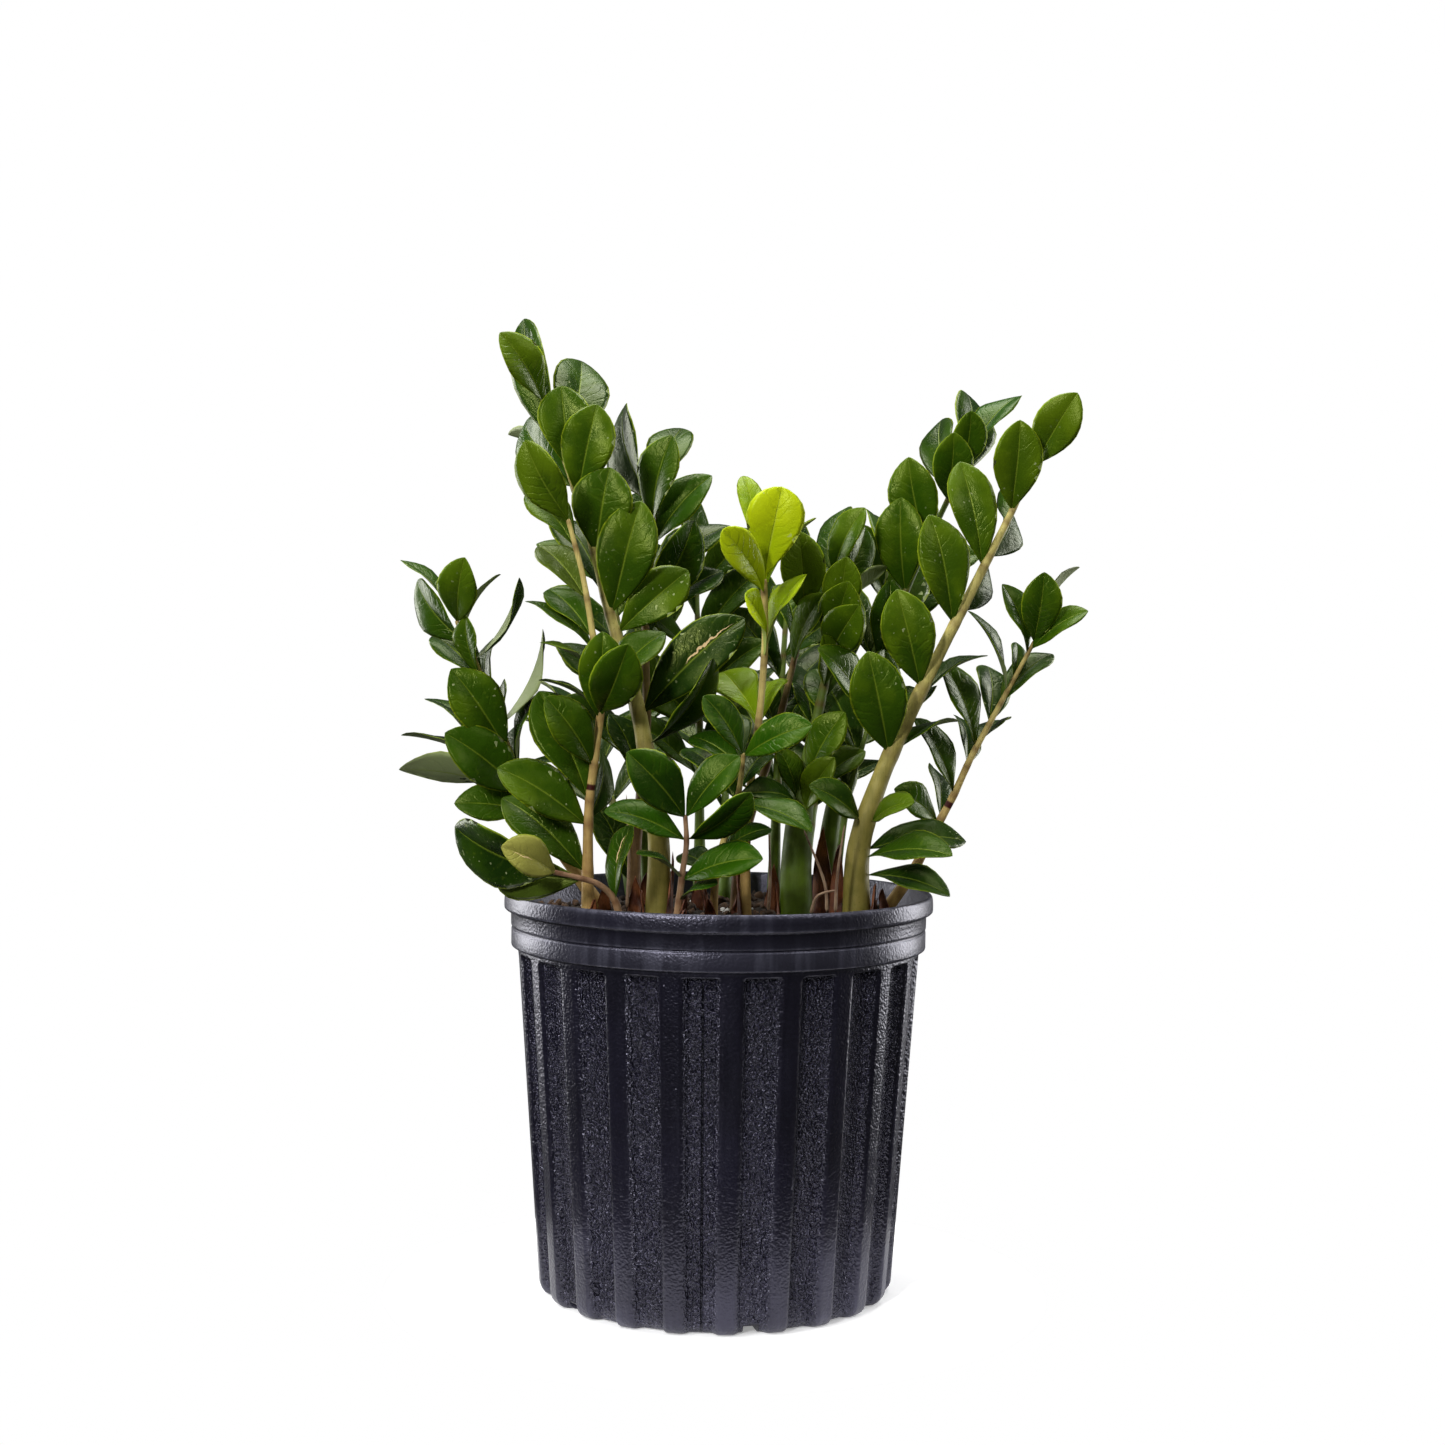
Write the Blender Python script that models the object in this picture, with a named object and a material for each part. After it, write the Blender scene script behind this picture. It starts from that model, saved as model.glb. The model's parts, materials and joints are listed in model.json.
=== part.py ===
"""Potted zz plant: a fluted nursery pot, its potting mix and leafy fronds, each frond one piece.

Metres, +Z up, origin at the middle of the pot's flat base, front of the plant towards -Y.
Fronds are drawn as on an elevation sheet: u to the right and v up, in millimetres, on the upright
plane through the pot's axis, and depth behind that plane (minus is nearer the eye at EYE).
"""
import math
import random

import bmesh
import bpy
import numpy as np
from mathutils import Vector
from mathutils.bvhtree import BVHTree

MM = 0.001

# Eye point of the elevation sheet
EYE = (1.0, -1331.0, 379.0)

# Pot, in millimetres
POT_HEIGHT = 241.5
RIM_RADIUS = 130.0
LIP_HEIGHT = 10.2
COLLAR_RADIUS = 126.0
COLLAR_FOOT = 209.4
BODY_TOP_RADIUS = 121.8
BODY_FOOT_RADIUS = 107.5
WALL = 2.4
FLUTES = 22
FIRST_RIB = math.radians(3.8)
RIB_HALF = math.radians(2.25)
SHOULDER_HALF = math.radians(4.85)
FLUTE_DEPTH = 5.2
FLUTE_TOP = 205.0
FOOT_ROUND = 7.0
DRAIN_SLOTS = 5
SLOT_WIDTH = 9.0
SLOT_HEIGHT = 5.0

# Potting mix, in millimetres
SOIL_LEVEL = 226.0
SOIL_RELIEF = 1.6
SOIL_SIDES = 32
HOLE_SIDES = 6
GAP = 0.3

# Stalks, in millimetres
ROOTED = 30.0
COLLAR_STRAIGHT = 5.0
STALK_STEPS = 8
REAR_STALK_STEPS = 5
SHORT_STALK = 110.0
STALK_SIDES_STEP = 1

# Leaflets, in millimetres
BLADE = 0.9
GUARD = 2.2
BLADE_ARCH = 0.07
BLADE_FOLD = 0.22
BLADE_SLENDER = 0.50
LONGEST_WIDTH = 36.0
ROOT_SINK = 1.4
ROOT_BACK = 1.2
FULL_ROWS = (0.2, 0.52, 0.84)
PLAIN_ROWS = (0.28, 0.76)
SHOWN_TURN = math.radians(36)
SHOWN_LENGTH = 52.0
ROOT_POWER = 0.85
TIP_POWER = 0.75
WIDEST = ROOT_POWER / (ROOT_POWER + TIP_POWER)
TRIM = 0.2

# Each frond: where it stands on the potting mix (x, y), the elevation points (u, v, depth) that its
# stalk passes, its thickness at five even places, and its leaflets as
# (tip u, tip v, root u, root v, lean of the tip behind the root, turn of the face towards the tip end).
FRONDS = {
    "frond_front_small": dict(
        stand=(-24, -90),
        stalk=[(-22, 255, -92), (-20, 272, -93), (-21, 287, -94)],
        girth=(4.6, 4.0, 3.4, 3.0, 2.4),
        leaflets=[
            (-55, 326, -21, 287, -25, 20), (10, 325, -20, 287, -5, 32), (-69, 292, -21, 273, -15, 50),
            (19, 301, -19, 274, -20, -50), (25, 264, -21, 249, -25, 46), (-49, 266, -22, 250, -20, 85),
            (-2, 248, -24, 236, -20, 80)]),
    "frond_left_slender": dict(
        stand=(-76, -60),
        stalk=[(-80, 262, -62), (-79, 303, -64), (-74, 340, -66), (-73, 370, -68), (-79, 400, -70),
               (-86, 438, -72), (-94, 466, -74)],
        girth=(8.0, 5.2, 4.4, 3.6, 2.6),
        leaflets=[
            (-134, 317, -81, 281, -15, 28), (-105, 359, -77, 318, -20, 25), (-57, 390, -74, 350, -38, -12),
            (-72, 398, -74, 346, -15, 5), (-37, 401, -70, 358, -20, 46), (-131, 299, -79, 252, 5, 32),
            (-121, 513, -94, 466, -15, -22), (-118, 484, -91, 450, 15, 38), (-111, 452, -86, 418, 18, 38),
            (-105, 426, -82, 394, 22, 40), (-118, 419, -79, 386, 10, 70), (-96, 394, -75, 362, 34, 40),
            (-111, 394, -76, 372, -30, 86), (-111, 371, -77, 352, -10, 86),
            (-109, 363, -79, 296, 12, 20), (-71, 328, -78, 284, 22, -58)]),
    "frond_left_trailing": dict(
        stand=(-56, -78),
        stalk=[(-66, 240, -82), (-80, 247, -88), (-92, 250, -92), (-101, 252, -95)],
        girth=(5.0, 4.0, 3.4, 3.0, 2.6),
        leaflets=[
            (-132, 267, -100, 252, -25, -25), (-163, 277, -98, 253, 14, 48), (-140, 250, -84, 247, 42, -20),
            (-55, 282, -60, 236, -5, 60)]),
    "frond_centre_small": dict(
        stand=(-3, -66),
        stalk=[(-2, 250, -69), (3, 274, -74), (11, 300, -78), (14, 325, -82)],
        girth=(5.2, 4.2, 3.7, 3.3, 2.6),
        leaflets=[
            (54, 345, 14, 325, -20, 35), (-9, 361, 14, 325, -10, 40), (57, 281, 12, 296, -25, 60),
            (1, 353, 14, 325, 32, 25), (48, 298, 13, 302, 10, 50), (-18, 338, 13, 318, 20, 45),
            (28, 328, 12, 304, 34, 40), (-20, 331, 10, 298, 30, 45), (31, 282, 2, 268, 12, 50),
            (-24, 266, -1, 254, 24, 35)]),
    "frond_left_low": dict(
        stand=(-70, -16),
        stalk=[(-86, 250, -20), (-104, 275, -25), (-121, 304, -30), (-131, 330, -34), (-140, 352, -36),
               (-150, 380, -38), (-161, 404, -40)],
        girth=(9.0, 6.6, 5.6, 4.3, 2.6),
        leaflets=[
            (-158, 442, -161, 404, -28, 22), (-196, 443, -161, 404, -8, 74), (-163, 375, -131, 326, -18, 12),
            (-165, 337, -122, 300, -22, 15), (-122, 430, -150, 381, -10, -84), (-137, 434, -158, 398, 18, 88),
            (-107, 399, -134, 342, -10, -98), (-187, 428, -156, 391, 20, -48), (-175, 397, -147, 366, 20, 40),
            (-161, 295, -112, 288, -15, 35), (-195, 317, -116, 292, 10, 112), (-195, 338, -120, 300, 10, 74),
            (-178, 360, -124, 308, 28, 62), (-152, 406, -148, 370, 30, 55), (-142, 394, -140, 352, 30, 58),
            (-134, 369, -133, 328, 30, 58), (-123, 346, -124, 310, 30, 58), (-112, 361, -125, 312, 30, 80)]),
    "frond_left_tall": dict(
        stand=(-36, -44),
        stalk=[(-36, 262, -46), (-46, 330, -47), (-54, 366, -47), (-66, 402, -46), (-77, 443, -45),
               (-88, 478, -43), (-98, 507, -41), (-110, 538, -40)],
        girth=(15.0, 11.0, 7.0, 4.2, 2.6),
        leaflets=[
            (-51, 478, -67, 410, -12, 5), (-71, 500, -78, 447, -30, 5), (-79, 538, -90, 480, -22, 5),
            (-22, 438, -65, 398, -15, 10), (-101, 550, -94, 497, -24, -6), (-135, 579, -110, 538, -22, 34),
            (-4, 382, -44, 330, -25, -66), (12, 410, -44, 350, -18, 22), (-125, 590, -97, 508, 32, 30),
            (-87, 567, -97, 505, 40, -15), (-124, 527, -97, 485, 22, -30), (-131, 524, -96, 488, 45, 78),
            (-100, 470, -70, 420, 45, 40), (-60, 400, -50, 350, 48, 40)]),
    "frond_lime_shoot": dict(
        stand=(16, -38),
        stalk=[(16, 262, -40), (18, 302, -42), (23, 345, -44), (26, 386, -45), (26, 415, -46),
               (25, 431, -46)],
        girth=(7.0, 5.0, 4.2, 3.9, 3.8),
        breadth=1.16,
        leaflets=[
            (35, 487, 24, 431, -20, 6), (2, 460, 24, 424, -24, 30), (13, 496, 25, 431, 15, 66),
            (54, 471, 25, 425, 0, 80), (48, 436, 27, 380, 5, 76), (16, 423, 26, 384, -28, 62),
            (1, 377, 24, 346, 30, 25), (30, 372, 24, 340, 35, 35), (-5, 311, 18, 304, -38, 86)]),
    "frond_right_tall": dict(
        stand=(81, -45),
        stalk=[(84, 262, -46), (88, 282, -46), (94, 302, -46), (107, 335, -44), (119, 359, -42),
               (132, 387, -40), (144, 408, -38), (156, 437, -36), (168, 460, -34), (178, 480, -32),
               (189, 503, -30)],
        girth=(17.0, 11.0, 7.6, 5.4, 2.6),
        leaflets=[
            (90, 388, 101, 325, -20, 5), (107, 426, 122, 366, -14, 5), (127, 472, 142, 405, -8, 20),
            (146, 506, 158, 441, -10, 20), (180, 529, 176, 474, -20, 5), (213, 546, 189, 503, -25, 10),
            (141, 268, 86, 264, -35, 60), (56, 308, 88, 284, -25, 45), (117, 299, 89, 284, -30, 55),
            (141, 243, 84, 254, -25, 60), (150, 277, 87, 268, 10, 55), (160, 389, 126, 358, 25, 74),
            (143, 349, 109, 326, 25, 76), (186, 499, 174, 468, 35, -60), (176, 477, 164, 446, 40, 50),
            (162, 446, 148, 412, 35, -60), (127, 369, 112, 342, 34, 50)]),
    "frond_right_slender": dict(
        stand=(104, 14),
        stalk=[(118, 255, 8), (128, 275, 4), (139, 295, 0), (153, 326, -3), (169, 356, -5), (180, 377, -7),
               (190, 396, -8)],
        girth=(8.0, 5.4, 4.2, 3.2, 2.2),
        leaflets=[
            (196, 437, 190, 396, -20, 10), (221, 416, 188, 391, -15, 52), (173, 431, 186, 388, -15, 60),
            (152, 415, 174, 366, -10, 84), (136, 384, 154, 332, -12, 58), (120, 349, 141, 303, -12, 60),
            (108, 306, 134, 285, -25, 45), (213, 444, 190, 396, 20, 84), (200, 390, 171, 358, 15, 50),
            (163, 382, 164, 345, 32, 35), (176, 395, 179, 372, 40, 45), (146, 351, 150, 320, 32, 55),
            (130, 321, 135, 288, 32, 55), (172, 350, 157, 330, 40, 60)]),
    "frond_right_upright": dict(
        stand=(46, -28),
        stalk=[(47, 262, -26), (50, 300, -20), (58, 345, -12), (66, 385, -4), (71, 415, 2), (66, 438, 4)],
        girth=(20.0, 17.0, 6.8, 4.4, 2.6),
        leaflets=[
            (75, 445, 71, 408, -25, 5), (76, 430, 69, 396, -38, 5), (82, 416, 67, 386, -40, 15),
            (84, 476, 64, 434, -14, 42), (73, 477, 66, 436, 30, 50), (87, 464, 71, 425, 15, -40),
            (63, 398, 66, 366, -24, 50), (48, 370, 57, 340, 35, 40), (72, 440, 60, 355, 45, 40),
            (93, 446, 70, 400, -12, 84), (74, 352, 53, 308, -15, 35),
            (36, 330, 50, 292, -10, 45), (68, 324, 49, 286, -20, 40), (86, 330, 52, 300, 15, 40)]),
    "frond_centre_brown": dict(
        stand=(10, 4),
        stalk=[(13, 265, 3), (22, 298, 0), (30, 325, 0), (37, 352, 0), (43, 378, 0), (50, 410, 0)],
        girth=(7.0, 5.6, 4.8, 4.0, 3.0),
        leaflets=[
            (47, 461, 51, 410, -20, 10), (61, 424, 47, 380, -20, 58), (37, 430, 45, 388, 25, 40),
            (70, 440, 50, 405, 20, 45), (62, 372, 38, 355, 20, 45), (15, 380, 34, 340, 20, 50),
            (10, 350, 30, 318, 25, 50)]),
    "frond_left_back": dict(
        stand=(-52, 0),
        stalk=[(-50, 280, 0), (-45, 340, 0), (-46, 378, 2), (-46, 420, 4), (-42, 460, 6), (-44, 490, 6)],
        girth=(7.4, 6.0, 5.0, 4.0, 2.6),
        leaflets=[
            (-33, 518, -44, 464, -15, 40), (-65, 539, -45, 478, 10, -55), (-29, 526, -44, 484, 44, 20),
            (-9, 495, -41, 452, -10, 40), (-17, 466, -43, 412, -12, -35),
            (3, 467, -44, 425, 20, 52), (-1, 439, -45, 402, 10, 60), (-30, 455, -45, 395, 20, 40),
            (-66, 350, -47, 306, 10, 40), (-74, 294, -50, 244, 6, 30), (-33, 318, -49, 284, 20, 55)]),
    "frond_right_thin": dict(
        stand=(70, -13),
        stalk=[(73, 262, -14), (78, 300, -14), (86, 330, -12), (92, 350, -10)],
        girth=(5.4, 4.4, 3.8, 3.3, 2.6),
        leaflets=[
            (60, 391, 90, 345, -5, 65), (52, 376, 84, 325, 0, 62), (100, 390, 92, 350, 10, 40),
            (60, 340, 76, 292, 5, 45)]),
    "frond_right_back": dict(
        stand=(65, 12),
        stalk=[(65, 262, 10), (73, 310, 10), (88, 360, 14), (105, 410, 18), (122, 450, 20), (138, 485, 22),
               (150, 510, 24)],
        girth=(14.0, 10.0, 5.6, 4.2, 2.6),
        leaflets=[
            (112, 506, 124, 452, -15, -8), (107, 481, 110, 425, -8, -14), (140, 521, 137, 480, -26, 10),
            (151, 535, 147, 500, -32, 10), (178, 546, 150, 510, 20, 56), (152, 549, 143, 494, 24, 42),
            (130, 530, 138, 488, 32, -30), (103, 431, 96, 380, -10, 30), (116, 458, 102, 400, 10, 30),
            (94, 479, 106, 418, 36, 30), (127, 400, 92, 368, 20, 40), (60, 350, 76, 316, 10, 40)]),
}

# Fronds at the back, grown by rule: stand (x, y) and the end of the stalk (u, v, depth)
REAR_FRONDS = {
    "frond_rear_left": dict(stand=(-44, 46), end=(-76, 456, 100), pairs=4),
    "frond_rear_mid_left": dict(stand=(-12, 36), end=(-16, 438, 84), pairs=4),
    "frond_rear_mid_right": dict(stand=(34, 36), end=(40, 428, 92), pairs=4),
    "frond_rear_right": dict(stand=(70, 50), end=(112, 446, 104), pairs=4),
    "frond_rear_low_left": dict(stand=(-56, 76), end=(-86, 338, 168), pairs=3),
    "frond_rear_low_mid": dict(stand=(4, 86), end=(2, 356, 190), pairs=3),
    "frond_rear_low_right": dict(stand=(54, 80), end=(68, 338, 166), pairs=3),
}
REAR_GIRTH = (9.0, 6.0, 4.6, 3.8, 2.6)
REAR_LEAFLET = 62.0
REAR_SPREAD = math.radians(50)
REAR_LIFT = math.radians(18)
REAR_FIRST = 0.36
SEED = 11


def placed(u, v, depth):
    """Point seen at (u, v) on the elevation sheet, slid along the line of sight to its depth, in mm."""
    eye = np.array(EYE)
    slide = (depth - EYE[1]) / -EYE[1]
    return eye + (np.array([u, 0.0, v]) - eye) * slide


def drawn(point):
    """Elevation sheet place (u, v) of a point, the reverse of placed."""
    eye = np.array(EYE)
    slide = (point[..., 1:2] - EYE[1]) / -EYE[1]
    return (eye + (point - eye) / slide)[..., (0, 2)]


def unit(vector):
    """The vector at length one."""
    return vector / np.linalg.norm(vector)


def smooth_line(points, steps):
    """Catmull-Rom curve through the points, read at even steps of its length."""
    points = np.asarray(points, float)
    ends = np.vstack([2 * points[0] - points[1], points, 2 * points[-1] - points[-2]])
    fine = []
    for k in range(len(points) - 1):
        a, b, c, d = ends[k:k + 4]
        t = np.linspace(0.0, 1.0, 16, endpoint=False)[:, None]
        fine.append(0.5 * (2 * b + (c - a) * t + (2 * a - 5 * b + 4 * c - d) * t ** 2
                           + (3 * b - a - 3 * c + d) * t ** 3))
    fine = np.vstack(fine + [points[-1:]])
    length = np.concatenate([[0.0], np.cumsum(np.linalg.norm(np.diff(fine, axis=0), axis=1))])
    even = np.linspace(0.0, length[-1], steps)
    return np.column_stack([np.interp(even, length, fine[:, axis]) for axis in range(3)])


def stalk_line(stand, points, steps):
    """Stalk: straight up out of its hole, then a smooth curve through its points."""
    foot = np.array([stand[0], stand[1], SOIL_LEVEL + COLLAR_STRAIGHT])
    above = smooth_line(np.vstack([foot, points]), steps)
    below = foot - np.array([0.0, 0.0, COLLAR_STRAIGHT + ROOTED])
    return np.vstack([below, above])


def stalk_radius(girth, steps):
    """Radius at each point of a stalk line: its foot is straight, then the thickness tapers."""
    above = np.interp(np.linspace(0.0, 1.0, steps), np.linspace(0.0, 1.0, len(girth)), girth)
    return np.concatenate([[girth[0]], above]) / 2


def half_width(s):
    """Half width of a leaflet along its rib, from 0 at the root through 1 to 0 at the pointed tip."""
    full = WIDEST ** ROOT_POWER * (1 - WIDEST) ** TIP_POWER
    return np.clip(s, 0.0, 1.0) ** ROOT_POWER * (1 - np.clip(s, 0.0, 1.0)) ** TIP_POWER / full


def blade_point(leaf, s, c, height):
    """Point of a leaflet at s along the rib and c across it: arched lengthways, folded on the rib."""
    half = leaf["width"] / 2 * half_width(np.asarray(s))
    lift = BLADE_ARCH * leaf["length"] * 4 * s * (1 - s) + BLADE_FOLD * abs(c) * half + height
    return leaf["root"] + leaf["rib"] * leaf["length"] * s + leaf["side"] * c * half + leaf["normal"] * lift


def blade_mesh(leaf, rows, thickness, start=0.0):
    """Closed thin blade: rows of three points on its upper and under face, pointed root and tip."""
    faces = []
    points = []
    for height in (thickness / 2, -thickness / 2):
        points.append(blade_point(leaf, start, 0.0, height))
        for s in rows:
            for c in (-1.0, 0.0, 1.0):
                points.append(blade_point(leaf, s, c, height))
        points.append(blade_point(leaf, 1.0, 0.0, height))
    count = 3 * len(rows) + 2
    tip = count - 1
    upper = [(0, 2, 1), (0, 3, 2)]
    for k in range(len(rows) - 1):
        a = 1 + 3 * k
        upper += [(a, a + 1, a + 4), (a, a + 4, a + 3), (a + 1, a + 2, a + 4), (a + 2, a + 5, a + 4)]
    upper += [(tip - 3, tip - 2, tip), (tip - 2, tip - 1, tip)]
    faces += upper
    faces += [(c + count, b + count, a + count) for a, b, c in upper]
    left = [0] + [1 + 3 * k for k in range(len(rows))] + [tip]
    right = [0] + [3 + 3 * k for k in range(len(rows))] + [tip]
    for a, b in zip(left, left[1:]):
        faces += [(a, b, b + count), (a, b + count, a + count)]
    for a, b in zip(right, right[1:]):
        faces += [(b, a, a + count), (b, a + count, b + count)]
    return np.array(points), faces


def leaflet(root, radius, tip, turn, tangent, breadth):
    """A leaflet from its place on the stalk to its tip, its face turned towards the frond's end."""
    rib = unit(tip - root)
    start = root - tangent * ROOT_BACK + rib * max(0.3 * radius, radius - ROOT_SINK)
    length = np.linalg.norm(tip - start)
    towards_eye = unit(np.array(EYE) - start)
    face = unit(towards_eye - rib * towards_eye.dot(rib))
    across = np.cross(rib, face)
    if across.dot(tangent) < 0:
        across = -across
    normal = math.cos(turn) * face + math.sin(turn) * across
    return dict(root=start, rib=rib, length=length, normal=normal, side=np.cross(normal, rib),
                width=breadth * min(BLADE_SLENDER * length + 2.0, LONGEST_WIDTH))


def tube_mesh(line, radius, sides):
    """Closed tube along a line, for keeping leaflets clear of stalks."""
    around = np.linspace(0.0, 2 * math.pi, sides, endpoint=False)
    ring = np.stack([np.cos(around), np.sin(around)])
    points = []
    for k, centre in enumerate(line):
        ahead = unit(line[min(k + 1, len(line) - 1)] - line[max(k - 1, 0)])
        first = unit(np.cross(ahead, [0.0, 1.0, 0.0]))
        second = np.cross(ahead, first)
        points.append(centre + radius[k] * (ring[0][:, None] * first + ring[1][:, None] * second))
    faces = []
    for k in range(len(line) - 1):
        for j in range(sides):
            a = k * sides + j
            b = k * sides + (j + 1) % sides
            faces += [(a, b, b + sides), (a, b + sides, a + sides)]
    return np.vstack(points), faces


def rim_guard():
    """Closed ring round the pot's rim and a disc on the potting mix, which leaflets stay clear of."""
    sides = 48
    around = np.linspace(0.0, 2 * math.pi, sides, endpoint=False)
    section = [(116.0, 150.0), (RIM_RADIUS + 2, 150.0), (RIM_RADIUS + 2, POT_HEIGHT + 2), (116.0, POT_HEIGHT + 2)]
    points = [np.column_stack([r * np.cos(around), r * np.sin(around), np.full(sides, z)]) for r, z in section]
    level = SOIL_LEVEL + SOIL_RELIEF + 1
    points.append(np.column_stack([116 * np.cos(around), 116 * np.sin(around), np.full(sides, level)]))
    faces = []
    for k in range(4):
        for j in range(sides):
            a = k * sides + j
            b = k * sides + (j + 1) % sides
            c = (k + 1) % 4 * sides + j
            d = (k + 1) % 4 * sides + (j + 1) % sides
            faces += [(a, b, d), (a, d, c)]
    faces.append(tuple(range(4 * sides, 5 * sides)))
    return np.vstack(points), faces


class Space:
    """What already stands in the plant's space, as search trees with their boxes."""

    def __init__(self):
        self.low = np.empty((0, 3))
        self.high = np.empty((0, 3))
        self.trees = []
        self.owners = []

    def add(self, points, faces, owner):
        self.low = np.vstack([self.low, points.min(axis=0)])
        self.high = np.vstack([self.high, points.max(axis=0)])
        self.trees.append(BVHTree.FromPolygons(points.tolist(), faces))
        self.owners.append(owner)

    def clear_of(self, points, faces, owner_ok):
        near = np.all((self.low <= points.max(axis=0)) & (self.high >= points.min(axis=0)), axis=1)
        tree = None
        for k in np.flatnonzero(near):
            if owner_ok(self.owners[k]):
                continue
            tree = tree or BVHTree.FromPolygons(points.tolist(), faces)
            if tree.overlap(self.trees[k]):
                return False
        return True


def bends():
    """Changes tried on a leaflet that meets another, mildest first: lean, turn, heading, length."""
    tries = []
    for short, part in enumerate((1.0, 0.86, 0.72)):
        for lean in (0, 7, -7, 14, -14, 21, -21, 30, -30, 40, -40):
            for turn in (0, 10, -10, 20, -20, 32, -32):
                for heading in (0, 4, -4, 8, -8):
                    cost = abs(lean) / 10 + abs(turn) / 9 + abs(heading) / 3 + 5 * short
                    tries.append((cost, lean, math.radians(turn), math.radians(heading), part))
    return sorted(tries)


def bent(root, tip, lean, heading, part):
    """Tip after a bend: its heading turned on the sheet, its lean changed, the leaflet shortened."""
    reach = (tip - root) * part
    cos, sin = math.cos(heading), math.sin(heading)
    return root + np.array([cos * reach[0] - sin * reach[2], reach[1] + lean, sin * reach[0] + cos * reach[2]])


def grow(space, name, root, radius, tip, turn, tangent, breadth, tries):
    """The leaflet in the first bend that is clear of all others, or None where there is no room."""
    shown = name in FRONDS and turn < SHOWN_TURN and np.linalg.norm(tip - root) > SHOWN_LENGTH
    rows = FULL_ROWS if shown else PLAIN_ROWS
    for _, lean, twist, heading, part in tries:
        leaf = leaflet(root, radius, bent(root, tip, lean, heading, part), turn + twist, tangent, breadth)
        blade = blade_mesh(leaf, rows, GUARD, TRIM)
        if not space.clear_of(*blade, lambda owner: owner[0] == name and owner[1] != "blade"):
            continue
        whole = blade_mesh(leaf, rows, GUARD)
        if space.clear_of(*whole, lambda owner: owner[0] == name):
            space.add(*blade, (name, "blade"))
            space.add(*whole, (name, "whole"))
            leaf["rows"] = rows
            return leaf
    return None


def traced_leaflets(frond):
    """Roots and tips of a frond's drawn leaflets: each root is the stalk's point nearest to its place."""
    line, radius = frond["line"], frond["radius"]
    fine = np.column_stack([np.interp(np.linspace(1, len(line) - 1, 200), np.arange(len(line)), line[:, axis])
                            for axis in range(3)])
    thick = np.interp(np.linspace(1, len(line) - 1, 200), np.arange(len(line)), radius)
    sheet = drawn(fine)
    for tip_u, tip_v, root_u, root_v, lean, turn in frond["leaflets"]:
        k = int(np.argmin(np.hypot(sheet[:, 0] - root_u, sheet[:, 1] - root_v)))
        tangent = unit(fine[min(k + 2, 199)] - fine[max(k - 2, 0)])
        tip = placed(tip_u, tip_v, fine[k, 1] + lean)
        yield fine[k], thick[k], tip, math.radians(turn), tangent


def ruled_leaflets(frond, rng):
    """Roots and tips of a rear frond's leaflets: two rows along the stalk, rising to its upper side."""
    line, radius = frond["line"], frond["radius"]
    outward = unit(line[-1] - line[1])
    upper = unit(np.array([0.0, 0.0, 1.0]) - outward * outward[2] - np.array([0.0, 0.6, 0.0]))
    for k in range(2 * frond["pairs"] + 1):
        along = REAR_FIRST + (1 - REAR_FIRST) * k / (2 * frond["pairs"])
        place = 1 + along * (len(line) - 2)
        root = np.array([np.interp(place, np.arange(len(line)), line[:, axis]) for axis in range(3)])
        ahead = min(int(place) + 1, len(line) - 1)
        tangent = unit(line[ahead] - line[ahead - 1])
        across = unit(np.cross(tangent, upper)) * (1 if k % 2 else -1)
        spread = REAR_SPREAD if along < 0.99 else math.radians(8)
        spread += math.radians(rng.uniform(-7, 7))
        lift = REAR_LIFT + math.radians(rng.uniform(-14, 14))
        aim = math.cos(lift) * across + math.sin(lift) * unit(np.cross(across, tangent)) * (1 if k % 2 else -1)
        reach = REAR_LEAFLET * rng.uniform(0.9, 1.08)
        tip = root + reach * (math.cos(spread) * tangent + math.sin(spread) * aim)
        turn = math.radians(rng.uniform(35, 75))
        yield root, np.interp(place, np.arange(len(line)), radius), tip, turn, tangent


def plan_plant():
    """All fronds with their stalk lines and the leaflets that found room, drawn ones first."""
    plan = {}
    space = Space()
    space.add(*rim_guard(), ("pot", "rim"))
    for name, frond in FRONDS.items():
        points = [placed(*point) for point in frond["stalk"]]
        steps = STALK_STEPS if points[-1][2] - SOIL_LEVEL > SHORT_STALK else REAR_STALK_STEPS
        plan[name] = dict(frond, line=stalk_line(frond["stand"], points, steps),
                          radius=stalk_radius(frond["girth"], steps), grown=[])
    for name, frond in REAR_FRONDS.items():
        end = placed(*frond["end"])
        foot = np.array([frond["stand"][0], frond["stand"][1], SOIL_LEVEL + COLLAR_STRAIGHT])
        knee = foot + (end - foot) * np.array([0.36, 0.36, 0.56])
        plan[name] = dict(frond, line=stalk_line(frond["stand"], [knee, end], REAR_STALK_STEPS),
                          radius=stalk_radius(REAR_GIRTH, REAR_STALK_STEPS), grown=[])
    for name, frond in plan.items():
        space.add(*tube_mesh(frond["line"][1:], frond["radius"][1:] + GUARD / 2, 6), (name, "stalk"))
    tries = bends()
    rng = random.Random(SEED)
    for name, frond in plan.items():
        drawn_one = "leaflets" in frond
        wanted = traced_leaflets(frond) if drawn_one else ruled_leaflets(frond, rng)
        for root, radius, tip, turn, tangent in wanted:
            leaf = grow(space, name, root, radius, tip, turn, tangent, frond.get("breadth", 1.0), tries)
            if leaf is not None:
                frond["grown"].append(leaf)
    return plan


def material(name, colour, roughness):
    """A plain finish with the part's own colour and roughness."""
    finish = bpy.data.materials.new(name)
    finish.use_nodes = True
    shader = finish.node_tree.nodes["Principled BSDF"]
    shader.inputs["Base Color"].default_value = (*colour, 1.0)
    shader.inputs["Roughness"].default_value = roughness
    shader.inputs["Metallic"].default_value = 0.0
    return finish


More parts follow.
